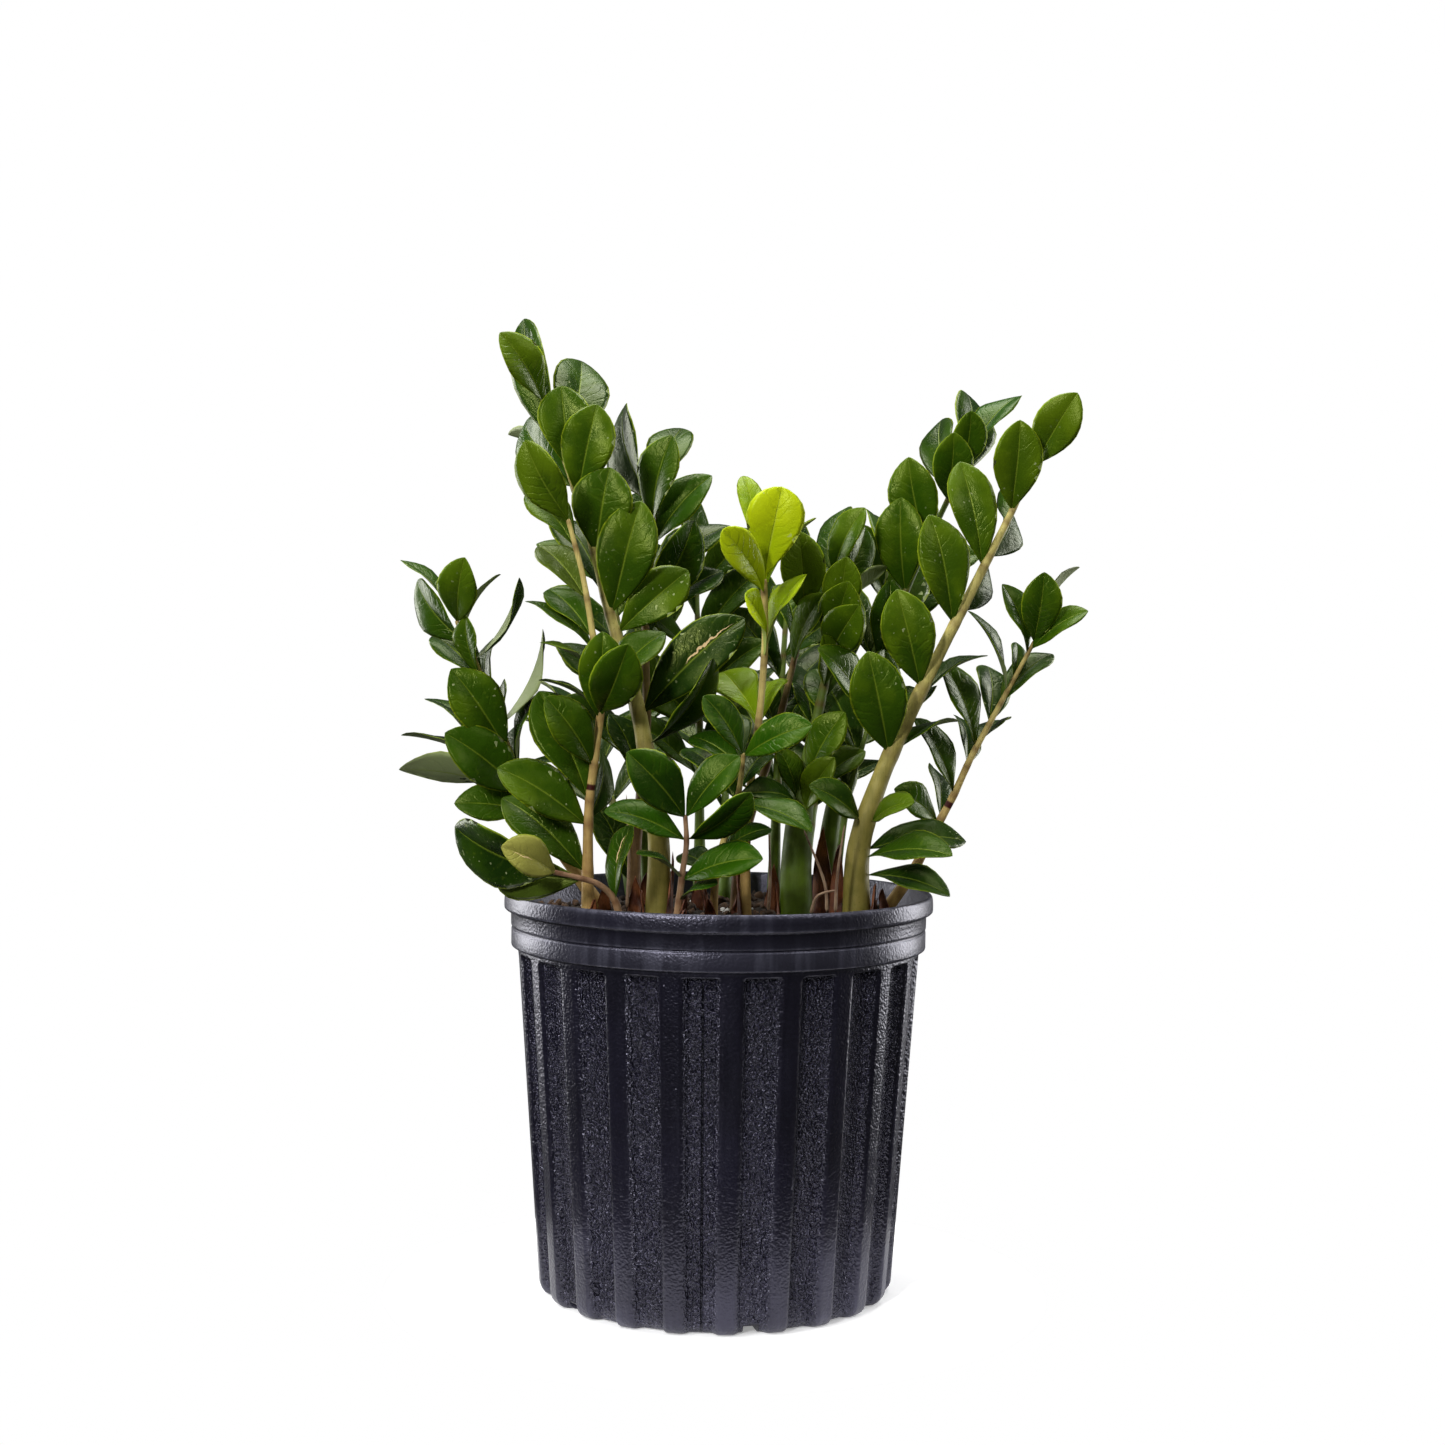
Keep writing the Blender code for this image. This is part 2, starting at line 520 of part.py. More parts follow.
def mesh_object(name, points, faces, collection):
    """A mesh object from points in millimetres."""
    mesh = bpy.data.meshes.new(name)
    mesh.from_pydata((np.asarray(points) * MM).tolist(), [], [tuple(face) for face in faces])
    piece = bpy.data.objects.new(name, mesh)
    collection.objects.link(piece)
    return piece


def face_outwards(piece):
    """Point every face of a closed mesh outwards."""
    shape = bmesh.new()
    shape.from_mesh(piece.data)
    bmesh.ops.recalc_face_normals(shape, faces=shape.faces)
    shape.to_mesh(piece.data)
    shape.free()


def pot_profile():
    """Pot section from the middle of the base, up the outside, over the rim and down to the floor.

    Each entry is radius, height and how deep the flutes cut there.
    """
    def body(z):
        return np.interp(z, [8.0, COLLAR_FOOT], [BODY_FOOT_RADIUS, BODY_TOP_RADIUS])
    lip_foot = POT_HEIGHT - LIP_HEIGHT
    outside = [
        (BODY_FOOT_RADIUS - FOOT_ROUND, 0.0, 0.8), (BODY_FOOT_RADIUS - 1.6, 3.0, 0.9),
        (body(8.0), 8.0, 1.0), (body(FLUTE_TOP - 6), FLUTE_TOP - 6, 1.0), (body(FLUTE_TOP), FLUTE_TOP, 0.0),
        (BODY_TOP_RADIUS, COLLAR_FOOT - 0.6, 0.0), (COLLAR_RADIUS - 0.5, COLLAR_FOOT, 0.0),
        (COLLAR_RADIUS, lip_foot - 0.4, 0.0), (RIM_RADIUS, lip_foot, 0.0),
        (RIM_RADIUS - 0.5, POT_HEIGHT, 0.0)]
    inside = [
        (RIM_RADIUS - 3.2, POT_HEIGHT, 0.0),
        (COLLAR_RADIUS - WALL - 0.5, COLLAR_FOOT + 2 * WALL, 0.0), (BODY_TOP_RADIUS - WALL, FLUTE_TOP + 5, 0.0),
        (body(FLUTE_TOP - 1) - WALL, FLUTE_TOP - 1, 1.0), (body(9.0) - WALL, 9.0, 1.0),
        (BODY_FOOT_RADIUS - FOOT_ROUND - 1.0, WALL, 0.9)]
    return outside, inside


def pot_ring(radius, height, cut):
    """One ring of the pot: four points a flute, two on the rib's top and two at the panel's corners."""
    ring = []
    for k in range(FLUTES):
        middle = FIRST_RIB - math.pi / 2 + k * 2 * math.pi / FLUTES
        for turn, deep in ((-SHOULDER_HALF, 1), (-RIB_HALF, 0), (RIB_HALF, 0), (SHOULDER_HALF, 1)):
            r = radius - FLUTE_DEPTH * cut * deep
            ring.append((r * math.cos(middle + turn), r * math.sin(middle + turn), height))
    return ring


def make_pot(collection, cutters):
    """Thin fluted pot lofted from rings, with drain slots through its bottom edge."""
    outside, inside = pot_profile()
    rings = [pot_ring(*row) for row in outside + inside]
    count = 4 * FLUTES
    points = [point for ring in rings for point in ring]
    faces = []
    for k in range(len(rings) - 1):
        for j in range(count):
            a = k * count + j
            b = k * count + (j + 1) % count
            faces.append((a, b, b + count, a + count))
    last = (len(rings) - 1) * count
    base, floor = len(points), len(points) + 1
    points += [(0.0, 0.0, 0.0), (0.0, 0.0, WALL)]
    faces += [(base, (j + 1) % count, j) for j in range(count)]
    faces += [(floor, last + j, last + (j + 1) % count) for j in range(count)]
    pot = mesh_object("pot", points, faces, collection)
    face_outwards(pot)
    for k in range(DRAIN_SLOTS):
        flute = round(k * FLUTES / DRAIN_SLOTS) + 0.5
        turn = FIRST_RIB - math.pi / 2 + flute * 2 * math.pi / FLUTES
        bpy.ops.mesh.primitive_cube_add(size=1.0)
        slot = bpy.context.object
        slot.name = f"drain_slot_{k}"
        reach = BODY_FOOT_RADIUS - FLUTE_DEPTH - 5
        slot.location = Vector((reach * math.cos(turn), reach * math.sin(turn), 0.0)) * MM
        slot.scale = Vector((24.0, SLOT_WIDTH, 2 * SLOT_HEIGHT)) * MM
        slot.rotation_euler.z = turn
        move_to(slot, cutters)
    cut_by_collection(pot, cutters, "DIFFERENCE")
    return pot


def move_to(piece, collection):
    """Link an object in one collection only."""
    for old in list(piece.users_collection):
        old.objects.unlink(piece)
    collection.objects.link(piece)


def cut_by_collection(piece, collection, operation, solver="EXACT"):
    """Cut or fuse a piece with every object of a collection, apply it and remove those objects."""
    joint = piece.modifiers.new("fuse", "BOOLEAN")
    joint.operation = operation
    joint.operand_type = "COLLECTION"
    joint.collection = collection
    joint.solver = solver
    bpy.context.view_layer.update()
    graph = bpy.context.evaluated_depsgraph_get()
    fused = bpy.data.meshes.new_from_object(piece.evaluated_get(graph))
    piece.modifiers.clear()
    piece.data = fused
    fused.name = piece.name
    for other in list(collection.objects):
        bpy.data.objects.remove(other)


def shells(shape):
    """Groups of vertices of a mesh that its edges join."""
    left = set(shape.verts)
    groups = []
    while left:
        group = {left.pop()}
        edge = set(group)
        while edge:
            edge = {link.other_vert(vert) for vert in edge for link in vert.link_edges} - group
            group |= edge
        left -= group
        groups.append(group)
    return sorted(groups, key=len, reverse=True)


def keep_main_shell(piece):
    """Drop the scraps and sealed hollows that fusing leaves."""
    shape = bmesh.new()
    shape.from_mesh(piece.data)
    for group in shells(shape)[1:]:
        bmesh.ops.delete(shape, geom=list(group), context="VERTS")
    shape.to_mesh(piece.data)
    shape.free()


def soil_height(x, y):
    """Gentle heaps of the potting mix above and below its level."""
    return SOIL_LEVEL + SOIL_RELIEF * (math.sin(x / 17 + 0.6) * math.cos(y / 21) + 0.5 * math.sin(y / 11 - x / 23))


def make_soil(collection, cutters, plan):
    """Potting mix: a turned plug that fills the pot, with a heaped top and a plain hole for each stalk."""
    _, inside = pot_profile()
    floor = inside[-1]
    foot = (floor[0] - FLUTE_DEPTH * floor[2] - GAP - 1.0, WALL + GAP)
    low = inside[-2]
    low = (low[0] - FLUTE_DEPTH - GAP, low[1] + 1)
    high = inside[-3]
    high = (high[0] - FLUTE_DEPTH - GAP, high[1] + 1)
    collar = (inside[2][0] - GAP - 0.4, inside[2][1] + 2)
    edge = (inside[1][0] - GAP - 0.6, SOIL_LEVEL)
    rows = [foot, low, high, collar]
    around = [2 * math.pi * k / SOIL_SIDES for k in range(SOIL_SIDES)]
    points = [(r * math.cos(a), r * math.sin(a), z) for r, z in rows for a in around]
    for part in (1.0, 0.6):
        for a in around:
            x, y = edge[0] * part * math.cos(a), edge[0] * part * math.sin(a)
            points.append((x, y, soil_height(x, y) - (2.0 if part == 1.0 else 0.0)))
    faces = []
    for k in range(len(rows) + 1):
        for j in range(SOIL_SIDES):
            a = k * SOIL_SIDES + j
            b = k * SOIL_SIDES + (j + 1) % SOIL_SIDES
            faces += [(a, b, b + SOIL_SIDES), (a, b + SOIL_SIDES, a + SOIL_SIDES)]
    top = len(points)
    points.append((0.0, 0.0, soil_height(0.0, 0.0)))
    last = top - SOIL_SIDES
    faces += [(last + j, last + (j + 1) % SOIL_SIDES, top) for j in range(SOIL_SIDES)]
    faces.append(tuple(range(SOIL_SIDES))[::-1])
    soil = mesh_object("soil", points, faces, collection)
    face_outwards(soil)
    for name, frond in plan.items():
        radius = frond["radius"][0] + GAP
        bottom = frond["line"][0][2] - GAP
        top = SOIL_LEVEL + COLLAR_STRAIGHT + 6
        x, y = frond["stand"]
        bpy.ops.mesh.primitive_cylinder_add(
            vertices=HOLE_SIDES, radius=radius / math.cos(math.pi / HOLE_SIDES) * MM, depth=(top - bottom) * MM,
            location=(x * MM, y * MM, (top + bottom) / 2 * MM))
        hole = bpy.context.object
        hole.name = f"hole_{name}"
        move_to(hole, cutters)
    cut_by_collection(soil, cutters, "DIFFERENCE")
    return soil


def make_stalk(name, frond, collection):
    """Stalk as a tapering tube along its line."""
    line, radius = frond["line"], frond["radius"]
    curve = bpy.data.curves.new(name, "CURVE")
    curve.dimensions = "3D"
    curve.bevel_depth = MM
    curve.bevel_resolution = STALK_SIDES_STEP
    curve.use_fill_caps = True
    spline = curve.splines.new("POLY")
    spline.points.add(len(line) - 1)
    for point, place, thick in zip(spline.points, line, radius):
        point.co = (*(place * MM), 1.0)
        point.radius = thick
    tube = bpy.data.objects.new(name, curve)
    collection.objects.link(tube)
    bpy.context.view_layer.update()
    graph = bpy.context.evaluated_depsgraph_get()
    mesh = bpy.data.meshes.new_from_object(tube.evaluated_get(graph))
    bpy.data.objects.remove(tube)
    shape = bmesh.new()
    shape.from_mesh(mesh)
    bmesh.ops.remove_doubles(shape, verts=shape.verts, dist=1e-6)
    bmesh.ops.recalc_face_normals(shape, faces=shape.faces)
    shape.to_mesh(mesh)
    shape.free()
    stalk = bpy.data.objects.new(name, mesh)
    collection.objects.link(stalk)
    return stalk


def make_frond(name, frond, collection, sprigs):
    """Frond: its stalk fused with all its leaflets in one body."""
    stalk = make_stalk(name, frond, collection)
    for k, leaf in enumerate(frond["grown"]):
        points, faces = blade_mesh(leaf, leaf["rows"], BLADE)
        face_outwards(mesh_object(f"{name}_leaflet_{k}", points, faces, sprigs))
    if frond["grown"]:
        cut_by_collection(stalk, sprigs, "UNION")
        keep_main_shell(stalk)
    return stalk


def shade(piece, finish):
    """Give a piece its finish and smooth shading that breaks at its edges."""
    piece.data.materials.clear()
    piece.data.materials.append(finish)
    piece.data.shade_smooth()
    piece.data.set_sharp_from_angle(angle=math.radians(32))


def main():
    """Build the pot, the potting mix and the fronds."""
    for old in list(bpy.data.objects):
        bpy.data.objects.remove(old)
    scene = bpy.context.scene.collection
    parts = bpy.data.collections.new("potted_zz_plant")
    slots = bpy.data.collections.new("drain_slot_cutters")
    holes = bpy.data.collections.new("stalk_hole_cutters")
    sprigs = bpy.data.collections.new("loose_leaflets")
    for collection in (parts, slots, holes, sprigs):
        scene.children.link(collection)
    plan = plan_plant()
    shade(make_pot(parts, slots), material("pot_black_plastic", (0.022, 0.022, 0.028), 0.5))
    shade(make_soil(parts, holes, plan), material("potting_mix", (0.05, 0.032, 0.02), 0.95))
    for name, frond in plan.items():
        colour = (0.36, 0.50, 0.05) if name == "frond_lime_shoot" else (0.05, 0.12, 0.015)
        shade(make_frond(name, frond, parts, sprigs), material(name, colour, 0.35))
    for collection in (slots, holes, sprigs):
        bpy.data.collections.remove(collection)
    return plan


main()
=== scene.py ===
"""Looks of the potted zz plant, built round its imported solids.

Every frond, the pot and the potting mix get a finer piece in the same place and of the same form,
apart from the widths and turns of some leaflets, which the fronds' entries give.
Metres, +Z up, front of the plant towards -Y. Fronds are placed by the same elevation sheet as the
solids: u to the right and v up, in millimetres, on the upright plane through the pot's axis, with
depth behind that plane (minus is nearer the eye at EYE).
"""

import json
import math
import random

import bmesh
import bpy
import numpy as np
from mathutils import Matrix, Vector

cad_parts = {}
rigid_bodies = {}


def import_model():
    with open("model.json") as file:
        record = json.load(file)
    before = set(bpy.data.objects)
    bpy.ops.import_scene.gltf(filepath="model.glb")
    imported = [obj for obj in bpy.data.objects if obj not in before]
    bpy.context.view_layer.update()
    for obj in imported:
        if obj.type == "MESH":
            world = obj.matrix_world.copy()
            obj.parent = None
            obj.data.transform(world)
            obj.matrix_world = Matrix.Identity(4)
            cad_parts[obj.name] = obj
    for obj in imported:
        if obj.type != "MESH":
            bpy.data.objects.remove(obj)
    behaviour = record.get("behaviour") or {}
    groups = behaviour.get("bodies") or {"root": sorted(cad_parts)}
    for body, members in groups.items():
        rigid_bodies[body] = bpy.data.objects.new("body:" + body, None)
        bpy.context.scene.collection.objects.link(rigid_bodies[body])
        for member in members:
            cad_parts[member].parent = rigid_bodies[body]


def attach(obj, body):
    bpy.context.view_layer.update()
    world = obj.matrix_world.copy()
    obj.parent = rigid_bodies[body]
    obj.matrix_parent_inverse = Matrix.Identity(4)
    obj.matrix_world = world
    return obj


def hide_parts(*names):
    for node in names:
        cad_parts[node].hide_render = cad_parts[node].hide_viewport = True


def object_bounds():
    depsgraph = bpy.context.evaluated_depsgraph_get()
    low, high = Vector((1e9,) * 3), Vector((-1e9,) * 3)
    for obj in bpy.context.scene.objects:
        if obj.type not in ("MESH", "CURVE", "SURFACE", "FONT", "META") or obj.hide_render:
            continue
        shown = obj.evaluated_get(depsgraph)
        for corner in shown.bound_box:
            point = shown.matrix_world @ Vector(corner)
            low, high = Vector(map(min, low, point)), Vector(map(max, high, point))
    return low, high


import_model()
cad_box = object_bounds()

MM = 0.001

# Eye point of the elevation sheet
EYE = np.array([1.0, -1331.0, 379.0])

# Pot, in millimetres
POT_HEIGHT = 241.5
LIP_HEIGHT = 10.2
COLLAR_FOOT = 209.4
BODY_TOP_RADIUS = 121.8
BODY_FOOT_RADIUS = 107.5
WALL = 2.4
FLUTES = 22
FIRST_RIB = math.radians(3.8)
RIB_HALF = math.radians(2.25)
SHOULDER_HALF = math.radians(4.85)
FLUTE_DEPTH = 5.2
PANEL_BOW = 0.3
FLUTE_TOP = 205.0
RIB_COLUMNS = np.radians([0.0, 1.2, 2.0, 2.5, 3.0, 3.6, 4.2, 4.7, 5.2, 6.2, 7.2])
PANEL_CORNER = 4.0
EDGE_TURN = 0.7
DRAIN_SLOTS = 5
SLOT_SIZE = (24.0, 9.0, 10.0)

# Potting mix, in millimetres
SOIL_LEVEL = 226.0
SOIL_RELIEF = 1.6
SOIL_EDGE = 121.6
SOIL_COLUMNS = 150
SOIL_RINGS = 56
GRAIN_REACH = 116.0
GRAIN_ROWS = 5
GRAIN_COLUMNS = 7

# Stalks, in millimetres
ROOTED = 30.0
COLLAR_STRAIGHT = 5.0
STALK_STEPS = 8
REAR_STALK_STEPS = 5
SHORT_STALK = 110.0
STALK_READINGS = 200
TUBE_SIDES = 16
TUBE_RINGS = 120
NODE_SWELL = 0.09
NODE_REACH = 4.0
SCAR_REACH = 2.2

# Leaflets, in millimetres
BLADE_ARCH = 0.07
BLADE_FOLD = 0.22
BLADE_SLENDER = 0.50
LONGEST_WIDTH = 36.0
ROOT_SINK = 1.4
ROOT_BACK = 1.2
LEAF_ROWS = 15
LEAF_ACROSS = np.array([-1.0, -0.82, -0.45, -0.1, 0.0, 0.1, 0.45, 0.82, 1.0, 0.6, 0.0, -0.6])
LEAF_SIDE = np.array([0.0, 1.0, 1.0, 1.0, 1.0, 1.0, 1.0, 1.0, 0.0, -1.0, -1.0, -1.0])
UPPER_FACES = 8
LEAF_THICK = 0.55
LEAF_BULGE = 0.10
LEAF_WAVE = 0.09
LEAF_TIP_CURL = 0.045
LEAF_ROLL = math.radians(9)
RIB_GROOVE = 0.35
GROOVE_REACH = 0.3
OUTLINE_POWERS = (1.05, 1.7, 0.78)
YOUNG_OUTLINE_POWERS = (1.15, 2.6, 0.58)
BOX_MARGIN = 0.1
# Painted shade by height: leaflets below the middle height (mm) are painted darker and those above it
# lighter, counted only between the two heights
PAINTED_SHADE_MIDDLE = 380.0
PAINTED_SHADE_HEIGHTS = (270.0, 440.0)

# Fronds at the back, grown by rule
REAR_GIRTH = (9.0, 6.0, 4.6, 3.8, 2.6)
REAR_KNEE = (0.36, 0.36, 0.56)
REAR_LEAFLET = 62.0
REAR_SPREAD = math.radians(50)
REAR_END_SPREAD = math.radians(8)
REAR_LIFT = math.radians(18)
REAR_FIRST = 0.36
SEED = 11

# Studio, in metres
CAMERA_PITCH = math.radians(88.5)
CAMERA_ROLL = math.radians(0.656)
CAMERA_LENS = 54.59
SURROUND = 0.08
FLOOR_RADIUS = 0.20
FLOOR_SIDES = 96
FLOOR_GLOW = 0.3
LAMPS = [
    # name, place, aim, size and power
    ("key", (-1.5, -1.4, 2.1), (0, 0, 0.30), (0.8, 0.8), 36),
    ("glint", (-0.85, -2.0, 1.15), (0, 0, 0.20), (0.22, 0.34), 30),
    ("fill", (1.7, -1.1, 1.9), (0, 0, 0.35), (1.0, 1.0), 13),
    ("overhead", (0.0, 0.35, 2.2), (0, 0, 0.30), (1.7, 1.3), 52),
    ("left_strip", (-1.29, 0.80, 0.5), (0, 0, 0.2), (0.7, 1.2), 18),
    ("right_strip", (1.36, 0.78, 0.5), (0, 0, 0.2), (0.65, 1.3), 19)]

# Each traced frond: where it stands on the potting mix (x, y), its thickness at five even places, the
# elevation points (u, v, depth) that its stalk passes, and its leaflets as (tip u, tip v, root u,
# root v, lean of the tip behind the root, turn of the face towards the tip end), with the bend that
# keeps the solid's leaflet clear of its neighbours after them: further lean, then turn and heading in
# degrees. Its looks, which the solids don't have: the stalk's skin, the leaflets' tone, which also
# carries painted light and shade, how far their green is fresh and deep, how high on the stalk a dark
# ring is left of an old leaflet, and by a leaflet's number from 0 a factor on its width, its own tone,
# its turn to the eye in degrees, the size of a dry place and how far it has paled with age.
# A frond at the back has its stalk's end (u, v, depth), its pairs and its leaflets' bends instead.
FRONDS = {
    "front_small": dict(
        stand=(-24, -90), girth=(4.6, 4.0, 3.4, 3.0, 2.4), skin="pink", tone_and_painted_shade=-0.14, fresh=0.65,
        tones={0: -0.5},
        stalk=[(-22, 255, -92), (-20, 272, -93), (-21, 287, -94)],
        leaflets=[(-55, 326, -21, 287, -25, 20), (10, 325, -20, 287, -5, 32),
            (-69, 292, -21, 273, -15, 50), (19, 301, -19, 274, -20, -50), (25, 264, -21, 249, -25, 46),
            (-49, 266, -22, 250, -20, 85), (-2, 248, -24, 236, -20, 80)]),
    "left_slender": dict(
        stand=(-76, -60), girth=(8.0, 5.2, 4.4, 3.6, 2.6), tone_and_painted_shade=-0.06, ring=304.0, aged={8: 0.1},
        stalk=[(-80, 262, -62), (-79, 303, -64), (-74, 340, -66), (-73, 370, -68), (-79, 400, -70),
            (-86, 438, -72), (-94, 466, -74)],
        leaflets=[(-134, 317, -81, 281, -15, 28), (-105, 359, -77, 318, -20, 25),
            (-57, 390, -74, 350, -38, -12), (-72, 398, -74, 346, -15, 5),
            (-37, 401, -70, 358, -20, 46, 30), (-131, 299, -79, 252, 5, 32),
            (-121, 513, -94, 466, -15, -22), (-118, 484, -91, 450, 15, 38), (-111, 452, -86, 418, 18, 38),
            (-105, 426, -82, 394, 22, 40), (-118, 419, -79, 386, 10, 70), (-96, 394, -75, 362, 34, 40),
            (-111, 394, -76, 372, -30, 86, 21), (-111, 371, -77, 352, -10, 86, 14),
            (-109, 363, -79, 296, 12, 20, -7), (-71, 328, -78, 284, 22, -58)]),
    "left_trailing": dict(
        stand=(-56, -78), girth=(5.0, 4.0, 3.4, 3.0, 2.6), skin="pink", tone_and_painted_shade=-0.14, fresh=0.25,
        widths={0: 1.08, 1: 1.25}, dry={0: 0.9, 3: 0.9}, aged={0: 0.8, 2: 0.12},
        stalk=[(-66, 240, -82), (-80, 247, -88), (-92, 250, -92), (-101, 252, -95)],
        leaflets=[(-132, 267, -100, 252, -25, -25), (-163, 277, -98, 253, 14, 48),
            (-140, 250, -84, 247, 42, -20, -21, 0, -8), (-55, 282, -60, 236, -5, 60)]),
    "centre_small": dict(
        stand=(-3, -66), girth=(5.2, 4.2, 3.7, 3.3, 2.6), tone_and_painted_shade=-0.12, fresh=0.6, tones={1: -0.3, 3: -0.3},
        stalk=[(-2, 250, -69), (3, 274, -74), (11, 300, -78), (14, 325, -82)],
        leaflets=[(54, 345, 14, 325, -20, 35), (-9, 361, 14, 325, -10, 40), (57, 281, 12, 296, -25, 60),
            (1, 353, 14, 325, 32, 25), (48, 298, 13, 302, 10, 50, 21), (-18, 338, 13, 318, 20, 45),
            (28, 328, 12, 304, 34, 40), (-20, 331, 10, 298, 30, 45, 7), (31, 282, 2, 268, 12, 50),
            (-24, 266, -1, 254, 24, 35)]),
    "left_low": dict(
        stand=(-70, -16), girth=(9.0, 6.6, 5.6, 4.3, 2.6), tone_and_painted_shade=-0.06, fresh=0.12,
        stalk=[(-86, 250, -20), (-104, 275, -25), (-121, 304, -30), (-131, 330, -34), (-140, 352, -36),
            (-150, 380, -38), (-161, 404, -40)],
        leaflets=[(-158, 442, -161, 404, -28, 22), (-196, 443, -161, 404, -8, 74, 14),
            (-163, 375, -131, 326, -18, 12), (-165, 337, -122, 300, -22, 15, -7),
            (-122, 430, -150, 381, -10, -84), (-137, 434, -158, 398, 18, 88),
            (-107, 399, -134, 342, -10, -98), (-187, 428, -156, 391, 20, -48),
            (-175, 397, -147, 366, 20, 40), (-161, 295, -112, 288, -15, 35),
            (-195, 317, -116, 292, 10, 112), (-195, 338, -120, 300, 10, 74, 7, 10),
            (-178, 360, -124, 308, 28, 62), (-152, 406, -148, 370, 30, 55, -40),
            (-142, 394, -140, 352, 30, 58), (-134, 369, -133, 328, 30, 58),
            (-123, 346, -124, 310, 30, 58, 7), (-112, 361, -125, 312, 30, 80, -30)]),
    "left_tall": dict(
        stand=(-36, -44), girth=(15.0, 11.0, 7.0, 4.2, 2.6), skin="olive", tone_and_painted_shade=-0.07,
        widths={1: 1.35, 2: 1.08, 4: 1.2, 8: 0.75, 11: 0.6}, tones={6: -0.15, 7: -0.45}, dry={7: 1.0},
        stalk=[(-36, 262, -46), (-46, 330, -47), (-54, 366, -47), (-66, 402, -46), (-77, 443, -45),
            (-88, 478, -43), (-98, 507, -41), (-110, 538, -40)],
        leaflets=[(-51, 478, -67, 410, -12, 5), (-71, 500, -78, 447, -30, 5, 21),
            (-79, 538, -90, 480, -22, 5, 14), (-22, 438, -65, 398, -15, 10, 14),
            (-101, 550, -94, 497, -24, -6, 21), (-135, 579, -110, 538, -22, 34),
            (-4, 382, -44, 330, -25, -66), (12, 410, -44, 350, -18, 22, 14),
            (-125, 590, -97, 508, 32, 30, 7), (-87, 567, -97, 505, 40, -15, 14),
            (-124, 527, -97, 485, 22, -30, 14), (-131, 524, -96, 488, 45, 78, 30, 10),
            (-100, 470, -70, 420, 45, 40), (-60, 400, -50, 350, 48, 40)]),
    "lime_shoot": dict(
        stand=(16, -38), girth=(7.0, 5.0, 4.2, 3.9, 3.8), breadth=1.16, widths={0: 0.95, 1: 0.6, 2: 0.38},
        tones={2: -0.35, 6: -0.6, 7: -0.5}, turned={2: 48, 3: 34},
        stalk=[(16, 262, -40), (18, 302, -42), (23, 345, -44), (26, 386, -45), (26, 415, -46),
            (25, 431, -46)],
        leaflets=[(35, 487, 24, 431, -20, 6), (2, 460, 24, 424, -24, 30, -21),
            (13, 496, 25, 431, 15, 66, 7), (54, 471, 25, 425, 0, 80, 14, 32), (48, 436, 27, 380, 5, 76),
            (16, 423, 26, 384, -28, 62, 0, 20), (1, 377, 24, 346, 30, 25), (30, 372, 24, 340, 35, 35),
            (-5, 311, 18, 304, -38, 86, 21)]),
    "right_tall": dict(
        stand=(81, -45), girth=(17.0, 11.0, 7.6, 5.4, 2.6), skin="olive", widths={2: 0.92, 3: 0.86},
        tones={6: -0.2, 7: -0.3, 9: -0.3},
        stalk=[(84, 262, -46), (88, 282, -46), (94, 302, -46), (107, 335, -44), (119, 359, -42),
            (132, 387, -40), (144, 408, -38), (156, 437, -36), (168, 460, -34), (178, 480, -32),
            (189, 503, -30)],
        leaflets=[(90, 388, 101, 325, -20, 5), (107, 426, 122, 366, -14, 5), (127, 472, 142, 405, -8, 20),
            (146, 506, 158, 441, -10, 20, 14), (180, 529, 176, 474, -20, 5), (213, 546, 189, 503, -25, 10),
            (141, 268, 86, 264, -35, 60), (56, 308, 88, 284, -25, 45), (117, 299, 89, 284, -30, 55),
            (141, 243, 84, 254, -25, 60), (150, 277, 87, 268, 10, 55), (160, 389, 126, 358, 25, 74),
            (143, 349, 109, 326, 25, 76), (186, 499, 174, 468, 35, -60), (176, 477, 164, 446, 40, 50),
            (162, 446, 148, 412, 35, -60), (127, 369, 112, 342, 34, 50)]),
    "right_slender": dict(
        stand=(104, 14), girth=(8.0, 5.4, 4.2, 3.2, 2.2), fresh=0.12, ring=296.0,
        stalk=[(118, 255, 8), (128, 275, 4), (139, 295, 0), (153, 326, -3), (169, 356, -5), (180, 377, -7),
            (190, 396, -8)],
        leaflets=[(196, 437, 190, 396, -20, 10), (221, 416, 188, 391, -15, 52),
            (173, 431, 186, 388, -15, 60, 7), (152, 415, 174, 366, -10, 84),
            (136, 384, 154, 332, -12, 58, 7), (120, 349, 141, 303, -12, 60), (108, 306, 134, 285, -25, 45),
            (213, 444, 190, 396, 20, 84, 0, 0, -4), (200, 390, 171, 358, 15, 50),
            (163, 382, 164, 345, 32, 35), (176, 395, 179, 372, 40, 45, -30), (146, 351, 150, 320, 32, 55),
            (130, 321, 135, 288, 32, 55), (172, 350, 157, 330, 40, 60, -7)]),
    "right_upright": dict(
        stand=(46, -28), girth=(20.0, 17.0, 6.8, 4.4, 2.6), skin="green", tone_and_painted_shade=0.06,
        stalk=[(47, 262, -26), (50, 300, -20), (58, 345, -12), (66, 385, -4), (71, 415, 2), (66, 438, 4)],
        leaflets=[(75, 445, 71, 408, -25, 5), (76, 430, 69, 396, -38, 5), (82, 416, 67, 386, -40, 15),
            (84, 476, 64, 434, -14, 42), (73, 477, 66, 436, 30, 50), (87, 464, 71, 425, 15, -40),
            (63, 398, 66, 366, -24, 50), (48, 370, 57, 340, 35, 40), (72, 440, 60, 355, 45, 40),
            (93, 446, 70, 400, -12, 84, 21, 20, -8), (74, 352, 53, 308, -15, 35),
            (36, 330, 50, 292, -10, 45), (68, 324, 49, 286, -20, 40), (86, 330, 52, 300, 15, 40, -14)]),
